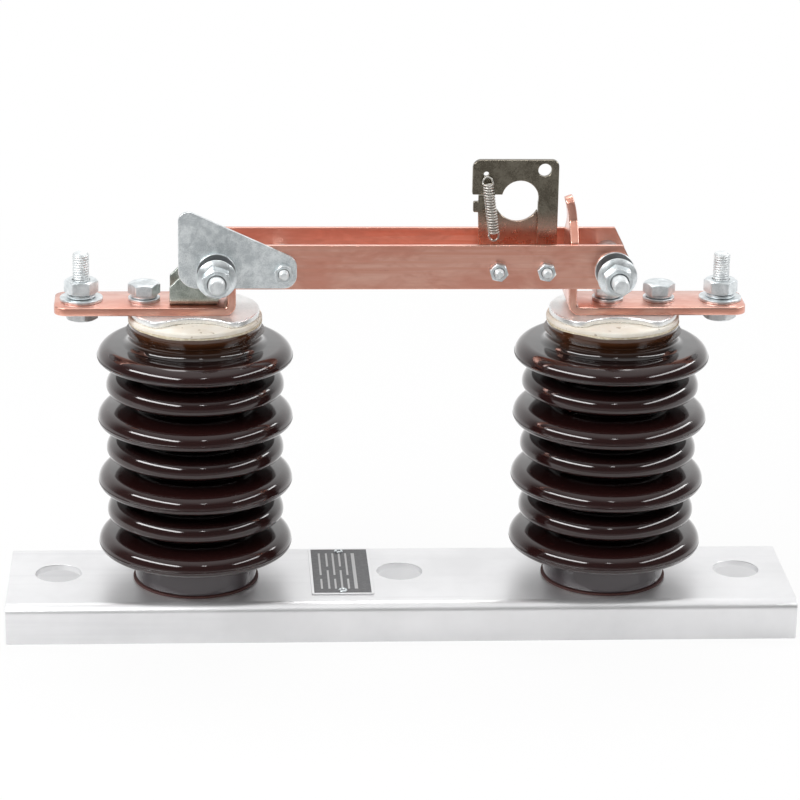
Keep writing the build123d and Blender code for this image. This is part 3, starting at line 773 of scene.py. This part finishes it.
# %% Nameplate finish
plate_middle = (-0.0365, 0.0040)
plate_half = (0.019, 0.037)
border_width = 0.0015
rule_places = (-0.0125, -0.0080, -0.0040, 0.0000, 0.0040, 0.0085)
rule_width, wide_rule, rule_half_length = 0.0007, 1.6, 0.029
gap_places, gap_half = (-0.010, 0.004), 0.0030

def nameplate_finish():
    made = new_finish("nameplate_field")
    x, y, _ = made.parts(made.place())
    x, y = x - plate_middle[0], y - plate_middle[1]
    field = (plate_half[0] - border_width - abs(x)).step(0, 0.0001)
    field = field * (plate_half[1] - border_width - abs(y)).step(0, 0.0001)
    rules = 0.0
    for k, rule_x in enumerate(rule_places):
        last = k == len(rule_places) - 1
        width = rule_width * (wide_rule if last else 1.0)
        line = (width - abs(x - rule_x)).step(0, 0.0002)
        gap = 1.0 if last else abs(y - gap_places[k % 2]).step(gap_half, gap_half + 0.0002)
        rules = line * gap * (rule_half_length - abs(y)).step(0, 0.0002) + rules
    wear = made.noise(made.place(), 420.0, 3.0, 0.6)
    ink = made.colour(wear.step(0.35, 0.8), (0.095, 0.095, 0.10), (0.15, 0.15, 0.155))
    tone = made.colour(rules.clamped() * 0.62, ink, (0.75, 0.75, 0.75))
    tone = made.colour(field, (0.86, 0.86, 0.87), tone)
    rough = field * 0.15 + wear * 0.15 + 0.25
    return made.surface(wear, 0.00002, Base_Color=tone, Metallic=(1 - field) * 0.8, Roughness=rough)


nameplate_field = nameplate_finish()
print("rules on the plate:", len(rule_places))

# %% [markdown]
# ## Sizes
# The places below are the CAD's own, in millimetres, so that every piece sits on the node it stands for.

# %% Places in millimetres
post_x = {"left": -125.7, "right": 125.7}
upright_face = {"left": -101.5, "right": 96.5}
bar_end = {"left": -209.3, "right": 204.3}
terminal_x = {"left": -193.3, "right": 190.3}
channel_length, channel_top, sheet = 480.0, 25.0, 4.0
post_foot, bed_low, cap_low, bar_low, bar_high = 26.5, 190.8, 193.7, 197.6, 202.6
pivot = (-113.1, 226.6)
contact_x, ring_pin_x, anchor_x, stop_bolt_x = 122.8, 82.1, 53.7, -73.6
blade_inner, blade_outer, stop_outer = 17.8, 20.8, 23.3
sides_of = ("left", "right")
print("blade pivot at", pivot)

# %% [markdown]
# ## The steel channel
# The channel is a flat blank folded along two lines, so it is a strip carried over the two bends,
# 480 mm wide. Its web is pierced by three round holes: the one big quad above and the one below
# are taken out and filled again round the holes, whose walls get the same rolled edges as a plate's.

# %% Channel
hole_radius, hole_offset, hole_edge = 14.0, 5.0, 0.5
hole_places = (-210.0, 0.0, 210.0)
bend_line = rounded([(-45.5, 0, 0), (-45.5, 23, 4), (45.5, 23, 4), (45.5, 0, 0)], closed=False, step=8)


def pierce_web(grid, faces, n, m):
    """Replace the web's two quads by faces with holes, and add the walls of the holes."""
    row = edge_steps + (len(bend_line) - 2) // 2
    gone = np.array([row * m + edge_steps, row * m + 3 * (edge_steps + 1) - 1])
    flat = grid.reshape(-1, 3)
    top, under = faces[gone]
    circles = [arc((x, hole_offset), hole_radius, 360, 4, 4) for x in hole_places]
    outer = [[(ring, flat[ring][:, :2])] for ring in (under, top)]
    points, _, extra = walls_and_lids(circles, channel_top - sheet, channel_top, hole_edge, in_xy,
                                      n * m, outer)
    corner = flat[top]
    if np.cross(corner[1] - corner[0], corner[2] - corner[1])[2] < 0:
        extra = [turned_over(e) for e in extra]
    return extra, [flat, points], np.delete(faces, gone, axis=0)


half_length = channel_length / 2
channel = strip(bend_line, lambda s: (-half_length, half_length), sheet, 0.6, in_yz, pierce_web)
make_piece("base_channel", channel, galvanized)

# %% [markdown]
# ## Nameplate and rivets
# A thin stamped plate with rounded corners lies on the web between the posts, and a hollow rivet
# holds it at the middle of each short end. The rivet's recess is painted dark through its rim number, as
# painted shade.

# %% Nameplate
badge_x, badge_y = (millimetres * place for place in plate_middle)
half_x, half_y = (millimetres * half for half in plate_half)
badge_corners = [(badge_x + i * half_x, badge_y + j * half_y, 1.5)
                 for i, j in ((-1, -1), (1, -1), (1, 1), (-1, 1))]
badge = plate(rounded(badge_corners), channel_top, channel_top + 0.8, 0.2, in_xy)
make_piece("nameplate", badge, nameplate_field)

rivet_radius, rivet_offset, recess_radius = 2.8, 31.9, 1.1
rivet_line = rounded([(0, 25.7, 0), (rivet_radius, 25.7, 0), (rivet_radius, 26.1, 0.4), (2.3, 26.75, 0.4),
                      (1.5, 26.75, 0.3), (recess_radius, 26.0, 0.1), (0, 26.0, 0)], closed=False, step=20)
rivets = []
for side in (-1, 1):
    y = badge_y + side * rivet_offset
    rivet = turned(rivet_line, 40, centre=(badge_x, y))
    reach = np.hypot(rivet.points[:, 0] - badge_x, rivet.points[:, 1] - y)
    # Painted shade: the recess is painted dark.
    rivet.rim = np.where(reach < recess_radius + 0.2, -0.9, 0.0)
    rivets.append(rivet)
make_piece("nameplate_rivets", rivets, nut_zinc)

# %% [markdown]
# ## Porcelain posts
# A post is turned clay: a foot, seven sheds that are wide and narrow in turn, and a cupped head.
# One profile line, with a round at every corner, is carried round the axis. The lips get generous
# rounds, because the two long lamps draw their streaks there, and a wave of a tenth of a millimetre
# breaks those streaks a little, as on fired ware.

# %% Posts
shed_radii = (59.0, 53.8, 59.0, 53.8, 59.0, 53.8, 59.0)
lowest_shed, shed_pitch, core_radius, foot_radius, head_radius = 52.0, 19.9, 36.5, 37.1, 40.3
lip_from, lip_depth = 47.5, 6.0


def post_profile():
    """Radius, height and round of each corner, from the foot's middle up to the head's middle. The neck
    takes the place of the last shed's upper corner."""
    rows = [(0, post_foot, 0), (foot_radius, post_foot, 0.5), (foot_radius, 30.5, 12),
            (core_radius, 36.0, 12)]
    for k, shed in enumerate(shed_radii):
        z = lowest_shed + k * shed_pitch
        rows += [(core_radius, z - 3.8, 2.5), (shed - 0.2, z - 6.2, 3.6), (shed, z + 4.4, 8),
                 (core_radius, z + 8.6, 3)]
    rows[-1:] = [(30.0, 176.4, 4.5), (36.0, 180.5, 6), (39.4, 185.5, 8), (head_radius, bed_low, 0.7),
                 (0, bed_low, 0)]
    return rounded(rows, closed=False, step=8)


def firing_wave(angle, z):
    return 0.08 * (np.sin(3 * angle + 0.21 * z) + np.sin(5 * angle - 0.13 * z) * 0.6 - 1.6)


for side in sides_of:
    post = turned(post_profile(), 144, wave=firing_wave, centre=(post_x[side], 0))
    reach = np.hypot(post.points[:, 0] - post_x[side], post.points[:, 1])
    post.rim = np.clip((reach - lip_from) / lip_depth, 0, 1)
    make_piece(f"insulator_{side}", post, glaze)

# %% [markdown]
# ## Gaskets, beds and caps
# A red-brown board ring squeezes out under each foot. The head's top is ground bare, and on it sits a
# zinc casting, scooped out at the front and the back. The cap is a plate: its outline is an arc of the
# rim, a small round, the scoop, and the mirror of that.

# %% Ends of the posts
scoop_centre, scoop_radius, lobe_radius, cap_radius = 46.0, 25.5, 7.0, 38.5


def cap_outline(x):
    """Four lobes: where the rim's circle and the scoop's circle meet, a small circle touches both."""
    far, near = cap_radius - lobe_radius, scoop_radius + lobe_radius
    lobe_y = (far ** 2 - near ** 2 + scoop_centre ** 2) / (2 * scoop_centre)
    lobe_x = math.sqrt(far ** 2 - lobe_y ** 2)
    lift = math.degrees(math.atan2(lobe_y, lobe_x))
    lean = math.degrees(math.atan2(scoop_centre - lobe_y, -lobe_x))
    rim = arc((0, 0), cap_radius, -lift, lift, 3)
    lobe = arc((lobe_x, lobe_y), lobe_radius, lift, lean, 6)
    scoop = arc((0, scoop_centre), scoop_radius, lean - 180, -lean, 4)
    half = np.vstack([rim[1:-1], lobe, scoop[1:-1], (lobe * [-1, 1])[::-1]])
    return np.vstack([half, half * -1]) + [x, 0]


def uneven_edge(angle, z):
    return 0.25 * (np.sin(4 * angle + 1) + np.sin(7 * angle) * 0.6 - 1.6)


gasket_profile = ring_profile(6.3, 38.3, channel_top, post_foot, 0.6)
bed_profile = rounded([(0, bed_low, 0), (head_radius, bed_low, 0.4), (head_radius - 0.1, cap_low, 1.2),
                       (0, cap_low, 0)], closed=False, step=15)
for side in sides_of:
    centre = (post_x[side], 0)
    make_piece(f"gasket_{side}", turned(gasket_profile, 96, closed=True, centre=centre), gasket_board)
    make_piece(f"cement_bed_{side}", turned(bed_profile, 96, wave=uneven_edge, centre=centre), bare_clay)
    make_piece(f"post_cap_{side}", plate(cap_outline(post_x[side]), cap_low, bar_low, 1.0, in_xy), cast_zinc)

# %% [markdown]
# ## Terminal bars
# Each bar is a flat copper strip bent square into an upright. On the right the upright narrows to the
# tongue that the pull ring's nose hooks: its half width is read from a rounded line of width against
# length, so shoulders and taper come from one formula, and its last stretch curls to the left.

# %% Bars
bar_thickness, half_width, plan_round, tip_round, bend_radius = 5.0, 17.5, 8.0, 4.2, 4.5
middle_height = bar_low + bar_thickness / 2
left_top, jaw_shoulder, tongue_tip = bar_low + 40.0, bar_low + 45.0, bar_low + 69.4


def round_end(s, radius):
    """How much a half width loses within a radius of a square end whose corners are rounded."""
    return radius - np.sqrt(np.clip(radius ** 2 - np.clip(radius - s, 0, radius) ** 2, 0, None))


def bent_bar(side, face, top):
    """The middle line of a bar that runs in from its outer end and turns up."""
    return rounded([(bar_end[side], middle_height, 0), (face, middle_height, bend_radius), (face, top, 0)],
                   closed=False)


def left_bar():
    path = resampled(bent_bar("left", upright_face["left"] - bar_thickness / 2, left_top), 1.0)

    def sides(s):
        half = half_width - round_end(s, plan_round)
        return -half, half
    return strip(path, sides, bar_thickness, 0.7, in_xz)


def right_bar():
    face = upright_face["right"] + bar_thickness / 2
    path = bent_bar("right", face, jaw_shoulder)
    root = distances(path)[-1]
    rise = np.linspace(0, 1, 20)[1:]
    curl = np.polyval(np.polyfit((0, 0.35, 0.7, 1), (0, 0.1, -0.9, -3.0), 3), rise)
    tongue = np.column_stack([face + curl, jaw_shoulder + rise * (tongue_tip - jaw_shoulder)])
    path = resampled(np.vstack([path, tongue]), 0.8)
    length = distances(path)[-1]
    widths = rounded([(0, half_width, 0), (root, half_width, 1), (root + 10.5, 7.0, 4), (length, 5.2, 0)],
                     closed=False)

    def sides(s):
        half = np.interp(s, *widths.T) - round_end(s, plan_round) - round_end(length - s, tip_round)
        return -half, half
    return strip(path, sides, bar_thickness, 0.9, in_xz)


make_piece("terminal_bar_left", left_bar(), copper)
make_piece("terminal_bar_right", right_bar(), copper)

# %% [markdown]
# ## Hinge bracket
# The bracket is a U of sheet: the strip runs down the front ear, under the pivot and up the back ear.
# Its two sides are functions of the height, so the ears get their slope and round corners.

# %% Bracket
ear_middle, ear_top, bracket_middle, bracket_sheet = 12.5, 236.6, 204.1, 3.0


def bracket():
    middle = [(-ear_middle, ear_top, 0), (-ear_middle, bracket_middle, 3), (ear_middle, bracket_middle, 3),
              (ear_middle, ear_top, 0)]
    back = [(190, -140.8, 0), (214.1, -140.8, 1), (ear_top, -118.3, 4), (ear_top, -110, 0)]
    front = [(bar_high, -113.1, 0), (216.6, -107.1, 4), (ear_top, -107.1, 6), (ear_top, -115, 0)]
    middle, back, front = (rounded(rows, closed=False) for rows in (middle, back, front))
    path = resampled(middle, 0.8)
    along = distances(path)

    def sides(s):
        z = np.interp(s, along, path[:, 1])
        return np.interp(z, *back.T), np.interp(z, *front.T)
    return strip(path, sides, bracket_sheet, 0.5, in_yz)


make_piece("hinge_bracket", bracket(), shade_darkened_sheet)

# %% [markdown]
# ## Blades and stop plate
# Two flat copper blades run side by side, round at the hinge and bevelled at the closing end.
# Outside the front one, near the hinge, a three-cornered plate lands on the cap when the switch
# is fully open. All three are plates in the XZ plane.

# %% Blades
blade_low, blade_high, heel_round = 215.1, 242.1, 13.49
blade_outline = rounded([(-126.6, blade_low, heel_round), (127.5, blade_low, 1), (133.5, 227.1, 1),
                         (133.5, 230.1, 1), (127.5, blade_high, 1), (-126.6, blade_high, heel_round)], step=5)
for name, low, high in (("front", -blade_outer, -blade_inner), ("back", blade_inner, blade_outer)):
    make_piece(f"blade_{name}", plate(blade_outline, low, high, 0.45, in_xz), copper, "switch_blade")
stop_corners = [(-135.6, 216.4, 11), (-65.7, 216.4, 8), (-65.7, 234.4, 8), (-135.6, 266.4, 6)]
stop = plate(rounded(stop_corners, step=5), -stop_outer, -blade_outer, 0.4, in_xz)
make_piece("stop_plate_front", stop, zinc_sheet, "switch_blade")

# %% [markdown]
# ## Pull ring
# The ring that the hook stick pulls is shared by two plates. The lever is an arch whose inner corner
# is the ring's arc, with an eye at its right and a small hole for the spring, and the cradle behind it
# closes the ring from below and stays with the blades.

# %% Lever and cradle
def as_corners(run):
    """A ready-made run of points as rows with no radius."""
    return np.column_stack([run, np.zeros(len(run))])


ring_centre, ring_radius = (67.1, 266.1), 11.0
ring_turn = math.degrees(math.asin(2.5 / ring_radius))
inner_corner = arc(ring_centre, ring_radius, 180 - ring_turn, ring_turn - 26, 5)
lever_line = rounded(np.vstack([(38.5, 268.6, 0.8), as_corners(inner_corner), (77.8, 220.6, 3),
                                (89.8, 220.6, 5), (89.8, 289.6, 4), (38.5, 289.6, 5)]), step=6)
eye = arc((81.4, 283.5), 4.0, 0, 352, 8)
hook_hole = arc((46.6, 281.1), 1.6, 0, 345, 15)
lever = plate(lever_line, -4.15, -0.15, 0.45, in_xz, holes=(eye, hook_hole))
make_piece("pull_lever", lever, dark_plate, "latch")

cradle_arc = arc((65.9, 264.3), 13.3, -28, -151, 5)
cradle_line = rounded(np.vstack([(44.1, 219.1, 3), (89.8, 219.1, 3), (89.8, 237.1, 3), as_corners(cradle_arc),
                                 (51.1, 258.1, 0), (51.1, 267.1, 1), (42.6, 267.1, 1), (42.6, 263.1, 0.5),
                                 (39.6, 263.1, 1), (39.6, 256.6, 1), (42.6, 256.6, 0.5)]), step=6)
make_piece("ring_cradle", plate(cradle_line, 0.15, 3.15, 0.4, in_xz), dark_plate, "switch_blade")

# %% [markdown]
# ## Lever spring
# A tension spring is wire wound on a rod: a helix with a half hook at each end. The wire's centreline
# is computed first, from the foot on the anchor screw to the hole in the lever. The wire is a circle
# carried along it, and its guide direction points away from the spring's axis, so the tube doesn't twist.
# It joins two bodies, so it is left on neither.

# %% Wires
def swept(line, guide, radius, segments=10):
    """A round wire: line + radius x (cos x guide + sin x (tangent x guide)), closed at both ends. The line
    is first smoothed over five points."""
    kernel = np.ones(5) / 5
    columns = [np.convolve(np.pad(line[:, k], 2, mode="edge"), kernel, "valid") for k in range(3)]
    smooth = np.column_stack(columns)
    tangent = np.gradient(smooth, axis=0)
    tangent = tangent / np.linalg.norm(tangent, axis=1)[:, None]
    guide = guide - tangent * (guide * tangent).sum(axis=1)[:, None]
    guide = guide / np.linalg.norm(guide, axis=1)[:, None]
    other = np.cross(tangent, guide)
    angle = full_turn(segments)[:, :, None]
    tube = smooth[:, None] + radius * (np.cos(angle) * guide[:, None] + np.sin(angle) * other[:, None])
    ends = [np.repeat(smooth[k][None, None], segments, axis=1) for k in (0, -1)]
    grid = np.concatenate([ends[0], tube, ends[1]])
    faces = grid_faces(*grid.shape[:2])
    return Shell(grid, faces, len(faces))


print("wires ready")

# %% Spring
spring_foot, spring_top = np.array([52.2, -8.35, 240.1]), np.array([46.6, -8.35, 281.1])
wire_radius, coil_radius, coil_count = 0.62, 3.08, 19
foot_room, top_room, hook_stretch = 5.6, 4.6, 1.35


def spring_line():
    """Helix: foot + axis x height + coil radius x (cos, sin) of the turn, with a hook at each end."""
    axis = spring_top - spring_foot
    length = np.linalg.norm(axis)
    axis = axis / length
    across = np.array([0, 1, 0])
    side = np.cross(axis, across)
    coil_low, coil_high = foot_room, length - top_room
    turn = np.linspace(0, 2 * np.pi * coil_count, coil_count * 22 + 1)[:, None]
    out = np.cos(turn) * side + np.sin(turn) * across
    coil = spring_foot + axis * (coil_low + (coil_high - coil_low) * turn / turn[-1]) + out * coil_radius
    swing = np.radians(np.linspace(0, 205, 26))[:, None]
    hooks, guides = [], []
    for start, way in ((coil_low, -1), (coil_high, 1)):
        guide = np.cos(swing) * side + np.sin(swing) * way * axis * hook_stretch
        hooks.append(spring_foot + axis * start + guide * coil_radius)
        guides.append(guide / np.linalg.norm(guide, axis=1)[:, None])
    return (np.vstack([hooks[0][:0:-1], coil, hooks[1][1:]]),
            np.vstack([guides[0][:0:-1], out, guides[1][1:]]))


spring_piece = make_piece("lever_spring", swept(*spring_line(), wire_radius), wire, None)
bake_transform(spring_piece)

# %% [markdown]
# ## Screws and nuts
# All the fixings are plated steel and come from the same few shapes: washers with rounded edges, split
# spring washers that climb as they go round, hexagons cut by a cone, and studs with a cut thread.
# They are stacked about the vertical axis and then carried to their places, upright or lying along Y.

# %% Hexagons
corner_share, crown_share = 1.135, 0.94


def hexagonal(flats, low, height, inside_low, inside_high, both_ends=True):
    """A hexagon whose radius is flats / 2 over the cosine of the angle from the nearest flat's middle, cut
    by a thirty-degree cone at its ends. Rows of radius and height close it inside. Its turned faces are
    smooth."""
    side = np.array([-30, -28.2, -21, -14, -7, 0, 7, 14, 21, 28.2])
    angle = np.radians(np.concatenate([side + 60 * k for k in range(6)]))[None, :]
    apothem = flats / 2
    full = np.minimum(apothem / np.cos(np.radians(np.tile(side, 6)))[None, :], corner_share * apothem)
    crown = crown_share * apothem
    steps = np.linspace(0, (corner_share * apothem - crown) / math.sqrt(3), 8)[:, None]
    cone = crown + steps * math.sqrt(3)
    lower = np.minimum(full, cone if both_ends else np.full_like(cone, np.inf))
    upper = np.minimum(full, cone[::-1])
    inner = [np.array(rows, float)[:, :, None] + 0 * angle for rows in (inside_low, inside_high)]
    r = np.vstack([inner[0][:, 0], lower, upper, inner[1][:, 0]])
    z = np.vstack([inner[0][:, 1], steps + 0 * angle, height - steps[::-1] + 0 * angle, inner[1][:, 1]])
    grid = about_axis(r, angle, low + z)
    faces = grid_faces(*z.shape, wrap_rows=True)
    turned_face = (r < full - 0.005).ravel()[faces].all(axis=1)
    level_face = np.ptp(z.ravel()[faces], axis=1) < 1e-6
    return Shell(grid, faces, turned_face & ~level_face)


def hex_nut(flats, low, height, bore):
    """The hexagon with a countersunk bore, whose mouth is painted dark as painted shade in the gap round the
    stud.
    """
    sink = 0.3 * bore
    mouth, face = bore + sink, bore + sink + 0.15
    nut = hexagonal(flats, low, height, [(bore, sink), (mouth, 0), (face, 0)],
                    [(face, height), (mouth, height), (bore, height - sink)])
    # Painted shade: the countersink round the bore is painted dark.
    nut.rim = np.where(np.hypot(*nut.points[:, :2].T) < mouth + 0.05, -0.8, 0.0)
    return nut


def hex_head(flats, low, height):
    """A screw's head: cut by the cone at its top only, with a faintly dished top."""
    dish = 0.3 * flats
    top = [(dish + 0.5, height), (dish, height - 0.25), (0, height - 0.25)]
    return hexagonal(flats, low, height, [(0, 0)], top, both_ends=False)


print("a nut has", len(hex_nut(18, 0, 10, 5.2).points), "points")

# %% Threads and split washers
crest_power, point_chamfer = 1.4, 1.2


def threaded(radius, pitch, low, high, depth, segments):
    """A stud whose radius falls by depth x a triangle wave of height / pitch minus the turn, with a
    chamfered point. The wave's power sharpens the crests."""
    rows = int((high - low) / pitch * 8)
    z = np.linspace(low, high, rows)[:, None]
    angle = full_turn(segments)
    wave = np.abs(2 * ((z / pitch - angle / (2 * np.pi)) % 1) - 1)
    cut = depth * wave ** crest_power * np.clip((z - low) / pitch, 0, 1)
    r = np.minimum(radius - cut, radius - point_chamfer + (high - z))
    grid = about_axis(r, angle, z)
    ends = [np.tile([0, 0, end], (segments, 1)) for end in (low, high)]
    faces = grid_faces(rows + 2, segments)
    place = np.arange(len(faces))
    smooth = (place >= segments) & (place < len(faces) - segments)
    return Shell(np.vstack([ends[0], grid.reshape(-1, 3), ends[1]]), faces, smooth)


def m10_stud(low, high):
    return threaded(5.0, 1.5, low, high, 0.45, 36)


def m6_stud(low, high):
    return threaded(3.0, 1.0, low, high, 0.36, 28)


def split_washer(inner, outer, low, thickness):
    """A spring washer: a rounded rectangle carried round all but a small gap while it climbs."""
    gap, rise = 9.0, 0.7
    section = ring_profile(inner, outer, 0, thickness, 0.3, step=45)
    angle = np.radians(np.linspace(gap / 2, 360 - gap / 2, 56))[:, None]
    climb = (angle / (2 * np.pi) - 0.5) * rise
    z = low + section[:, 1] * (thickness - rise) / thickness + climb + rise / 2
    grid = about_axis(section[:, 0], angle, z)
    faces = grid_faces(*z.shape)
    return Shell(grid, np.vstack([faces, end_fans(*z.shape)]), len(faces))


print("an M10 stud has", len(m10_stud(0, 30).points), "points")

# %% Carrying to a place
def upright(x, y, z, turn=0.0):
    """Carry a shell that was made about the vertical axis to a place, turned about that axis."""
    c, s = math.cos(math.radians(turn)), math.sin(math.radians(turn))
    return lambda p: p @ np.array([[c, s, 0], [-s, c, 0], [0, 0, 1]]) + np.array([x, y, z])


def facing(x, y, z, way, turn=0.0):
    """Lay a shell over so that its axis points along Y, to the front (-1) or the back (1)."""
    c, s = math.cos(math.radians(turn)), math.sin(math.radians(turn))

    def carry(p):
        a, b = p[:, 0] * c - p[:, 1] * s, p[:, 0] * s + p[:, 1] * c
        return np.column_stack([x + a, y + way * p[:, 2], z - way * b])
    return carry


def carried(shells, carry):
    return [shell.moved(carry) for shell in shells]


def hung(shells, carry):
    """The same stack hanging down from its seat."""
    return [shell.moved(lambda p: p * [1, 1, -1]).moved(carry) for shell in shells]


print("stacks can stand, hang or lie")

# %% Terminal and cap screws
wide_flats, cap_flats, clamp_flats, small_flats = 18.0, 17.0, 16.0, 10.0
nut_bore, clamp_bore, washer_bore, split_bore = 4.2, 4.4, 5.4, 5.3
washer_height, split_height = 2.0, 2.4
nut_seat = washer_height + split_height


def sprung_washers(outer, split_outer):
    split = split_washer(split_bore, split_outer, washer_height, split_height)
    return [washer(washer_bore, outer, 0, washer_height), split]


nut_turn = {"left": 91, "right": 78}
for side in sides_of:
    x = terminal_x[side]
    head = hung([hex_head(wide_flats, 0, 6.5)], upright(x, 0, bar_low, 12))
    stud = carried([m10_stud(-3, 29.2)], upright(x, 0, bar_high))
    make_piece(f"terminal_screw_{side}", head + stud, stud_zinc)
    stack = sprung_washers(12.8, 8.6) + [hex_nut(wide_flats, nut_seat, 8.4, nut_bore)]
    make_piece(f"terminal_nut_{side}", carried(stack, upright(x, 0, bar_high, nut_turn[side])), nut_zinc)

cap_screws = {"outer_left": (-156.0, bar_high, 30), "inner_left": (-125.1, bar_high + 3.0, 20),
              "outer_right": (153.0, bar_high, 26), "inner_right": (122.1, bar_high, 8)}
for name, (x, seat, turn) in cap_screws.items():
    stack = sprung_washers(9.5, 8.0) + [hex_head(cap_flats, nut_seat, 6.4)]
    make_piece(f"cap_screw_{name}", carried(stack, upright(x, 0, seat, turn)), nut_zinc)

for side in sides_of:
    stack = [washer(6.4, 12.0, 0, washer_height), hex_head(wide_flats, washer_height, 7.5)]
    make_piece(f"post_screw_{side}", hung(stack, upright(post_x[side], 0, channel_top - sheet)), nut_zinc)

# %% [markdown]
# The pivot and the contact screw are long studs. At the front a stiff spring presses the blades
# together, between a thick washer and a nut whose skirt is its own washer. The coil is a helix like the
# lever spring's, laid along the stud, its two end turns lie flat, and it is coloured near-black all over. The
# washer's face under the coil is painted dark as painted shade, and its edge is left bright.

# %% Pivot and contact screws
def pressure_spring(low, length, radius, wire_radius, turns):
    """A helix whose height is low + wire + room x a share that waits at both ends, so that they lie flat."""
    turn = np.linspace(0, 2 * np.pi * turns, int(turns * 40))[:, None]
    share = np.clip((turn / (2 * np.pi) - 0.7) / (turns - 1.4), 0, 1)
    out = np.hstack([np.cos(turn), np.sin(turn), 0 * turn])
    up = low + wire_radius + (length - 2 * wire_radius) * share
    coil = swept(out * (radius - wire_radius) + up * [0, 0, 1], out, wire_radius, 12)
    coil.rim = coil.rim - 1
    return coil


def flange_nut(low):
    """A hexagon rising from a cone that is its own washer."""
    skirt = [(5.1, 0, 0.2), (11.8, 0, 0.4), (11.8, 1.0, 0.4), (8.2, 2.5, 0.3), (5.1, 2.5, 0.1)]
    skirt = rounded(skirt, step=30) + [0, low]
    return [turned(skirt, closed=True), hex_nut(clamp_flats, low + 2.3, 9.2, clamp_bore)]


stud_reach = {-1: 55.5, 1: 34.0}
play = 0.3
clamps = {"pivot": (pivot[0], stop_outer + play, blade_outer + play, "frame"),
          "contact": (contact_x, blade_outer, blade_outer, "switch_blade")}
for name, (x, seat, back_seat, body) in clamps.items():
    thick = washer(washer_bore, 11.8, 0, washer_height, 0.5)
    # Painted shade: the washer's face under the coil is painted dark, but its rounded edge is not.
    thick.rim = np.where(np.hypot(*thick.points[:, :2].T) < 11.4, -0.8, 0.4)
    front = [thick, pressure_spring(washer_height, 11.6, 7.7, 1.15, 4.2), *flange_nut(13.6)]
    make_piece(f"{name}_nut_front", carried(front, facing(x, -seat, pivot[1], -1, 12)), nut_zinc, body)
    back = [washer(washer_bore, 9.0, 0, washer_height, 0.4),
            hex_nut(clamp_flats, washer_height, 8.0, clamp_bore)]
    make_piece(f"{name}_nut_back", carried(back, facing(x, back_seat, pivot[1], 1, 25)), nut_zinc, body)
    halves = [m10_stud(0, reach).moved(facing(x, 0, pivot[1], way)) for way, reach in stud_reach.items()]
    make_piece(f"{name}_screw", halves, stud_zinc, body)

# %% Small screws, sleeves and lock nuts
small_screws = {"stop_screw": (stop_bolt_x, stop_outer), "anchor_screw": (anchor_x, blade_outer),
                "ring_pin": (ring_pin_x, blade_outer)}
lock_faces = {"anchor_screw": ((0.15, -1), (3.15, 1)), "ring_pin": ((-4.45, -1), (3.15, 1))}
nut_height, lock_nut_height, small_bore, past_seat = 5.0, 3.2, 2.6, 9.0
for name, (x, front_seat) in small_screws.items():
    studs, nuts = [], []
    for way, seat, turn in ((-1, front_seat, 18), (1, blade_outer, 5)):
        studs.append(m6_stud(0, seat + past_seat).moved(facing(x, 0, pivot[1], way)))
        nut = hex_nut(small_flats, 0, nut_height, small_bore)
        nuts.append(nut.moved(facing(x, way * seat, pivot[1], way, turn)))
    for y, way in lock_faces.get(name, ()):
        nut = hex_nut(small_flats, 0, lock_nut_height, small_bore)
        nuts.append(nut.moved(facing(x, y, pivot[1], way, 10)))
    make_piece(name, studs, stud_zinc, "switch_blade")
    make_piece(f"{name}_nuts", nuts, nut_zinc, "switch_blade")

sleeves = {"blade_spacer": (stop_bolt_x, 3.3, 5.5), "contact_spacer": (contact_x, 5.3, 8.0)}
for name, (x, inner, outer) in sleeves.items():
    sleeve = washer(inner, outer, -blade_inner, 2 * blade_inner, 0.4).moved(facing(x, 0, pivot[1], 1))
    make_piece(name, sleeve, nut_zinc, "switch_blade")

# %% [markdown]
# ## Sizes of both boxes
# Both boxes, the CAD model's and the dressed model's, are printed side by side in millimetres. The
# dressed model has to stay inside the CAD model's box.

# %% Both boxes
made_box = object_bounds()
boxes = {"cad": [list(corner) for corner in cad_box], "visual": [list(corner) for corner in made_box]}
for name, (low, high) in boxes.items():
    print(name, [round(1000 * (b - a), 2) for a, b in zip(low, high)], "mm")
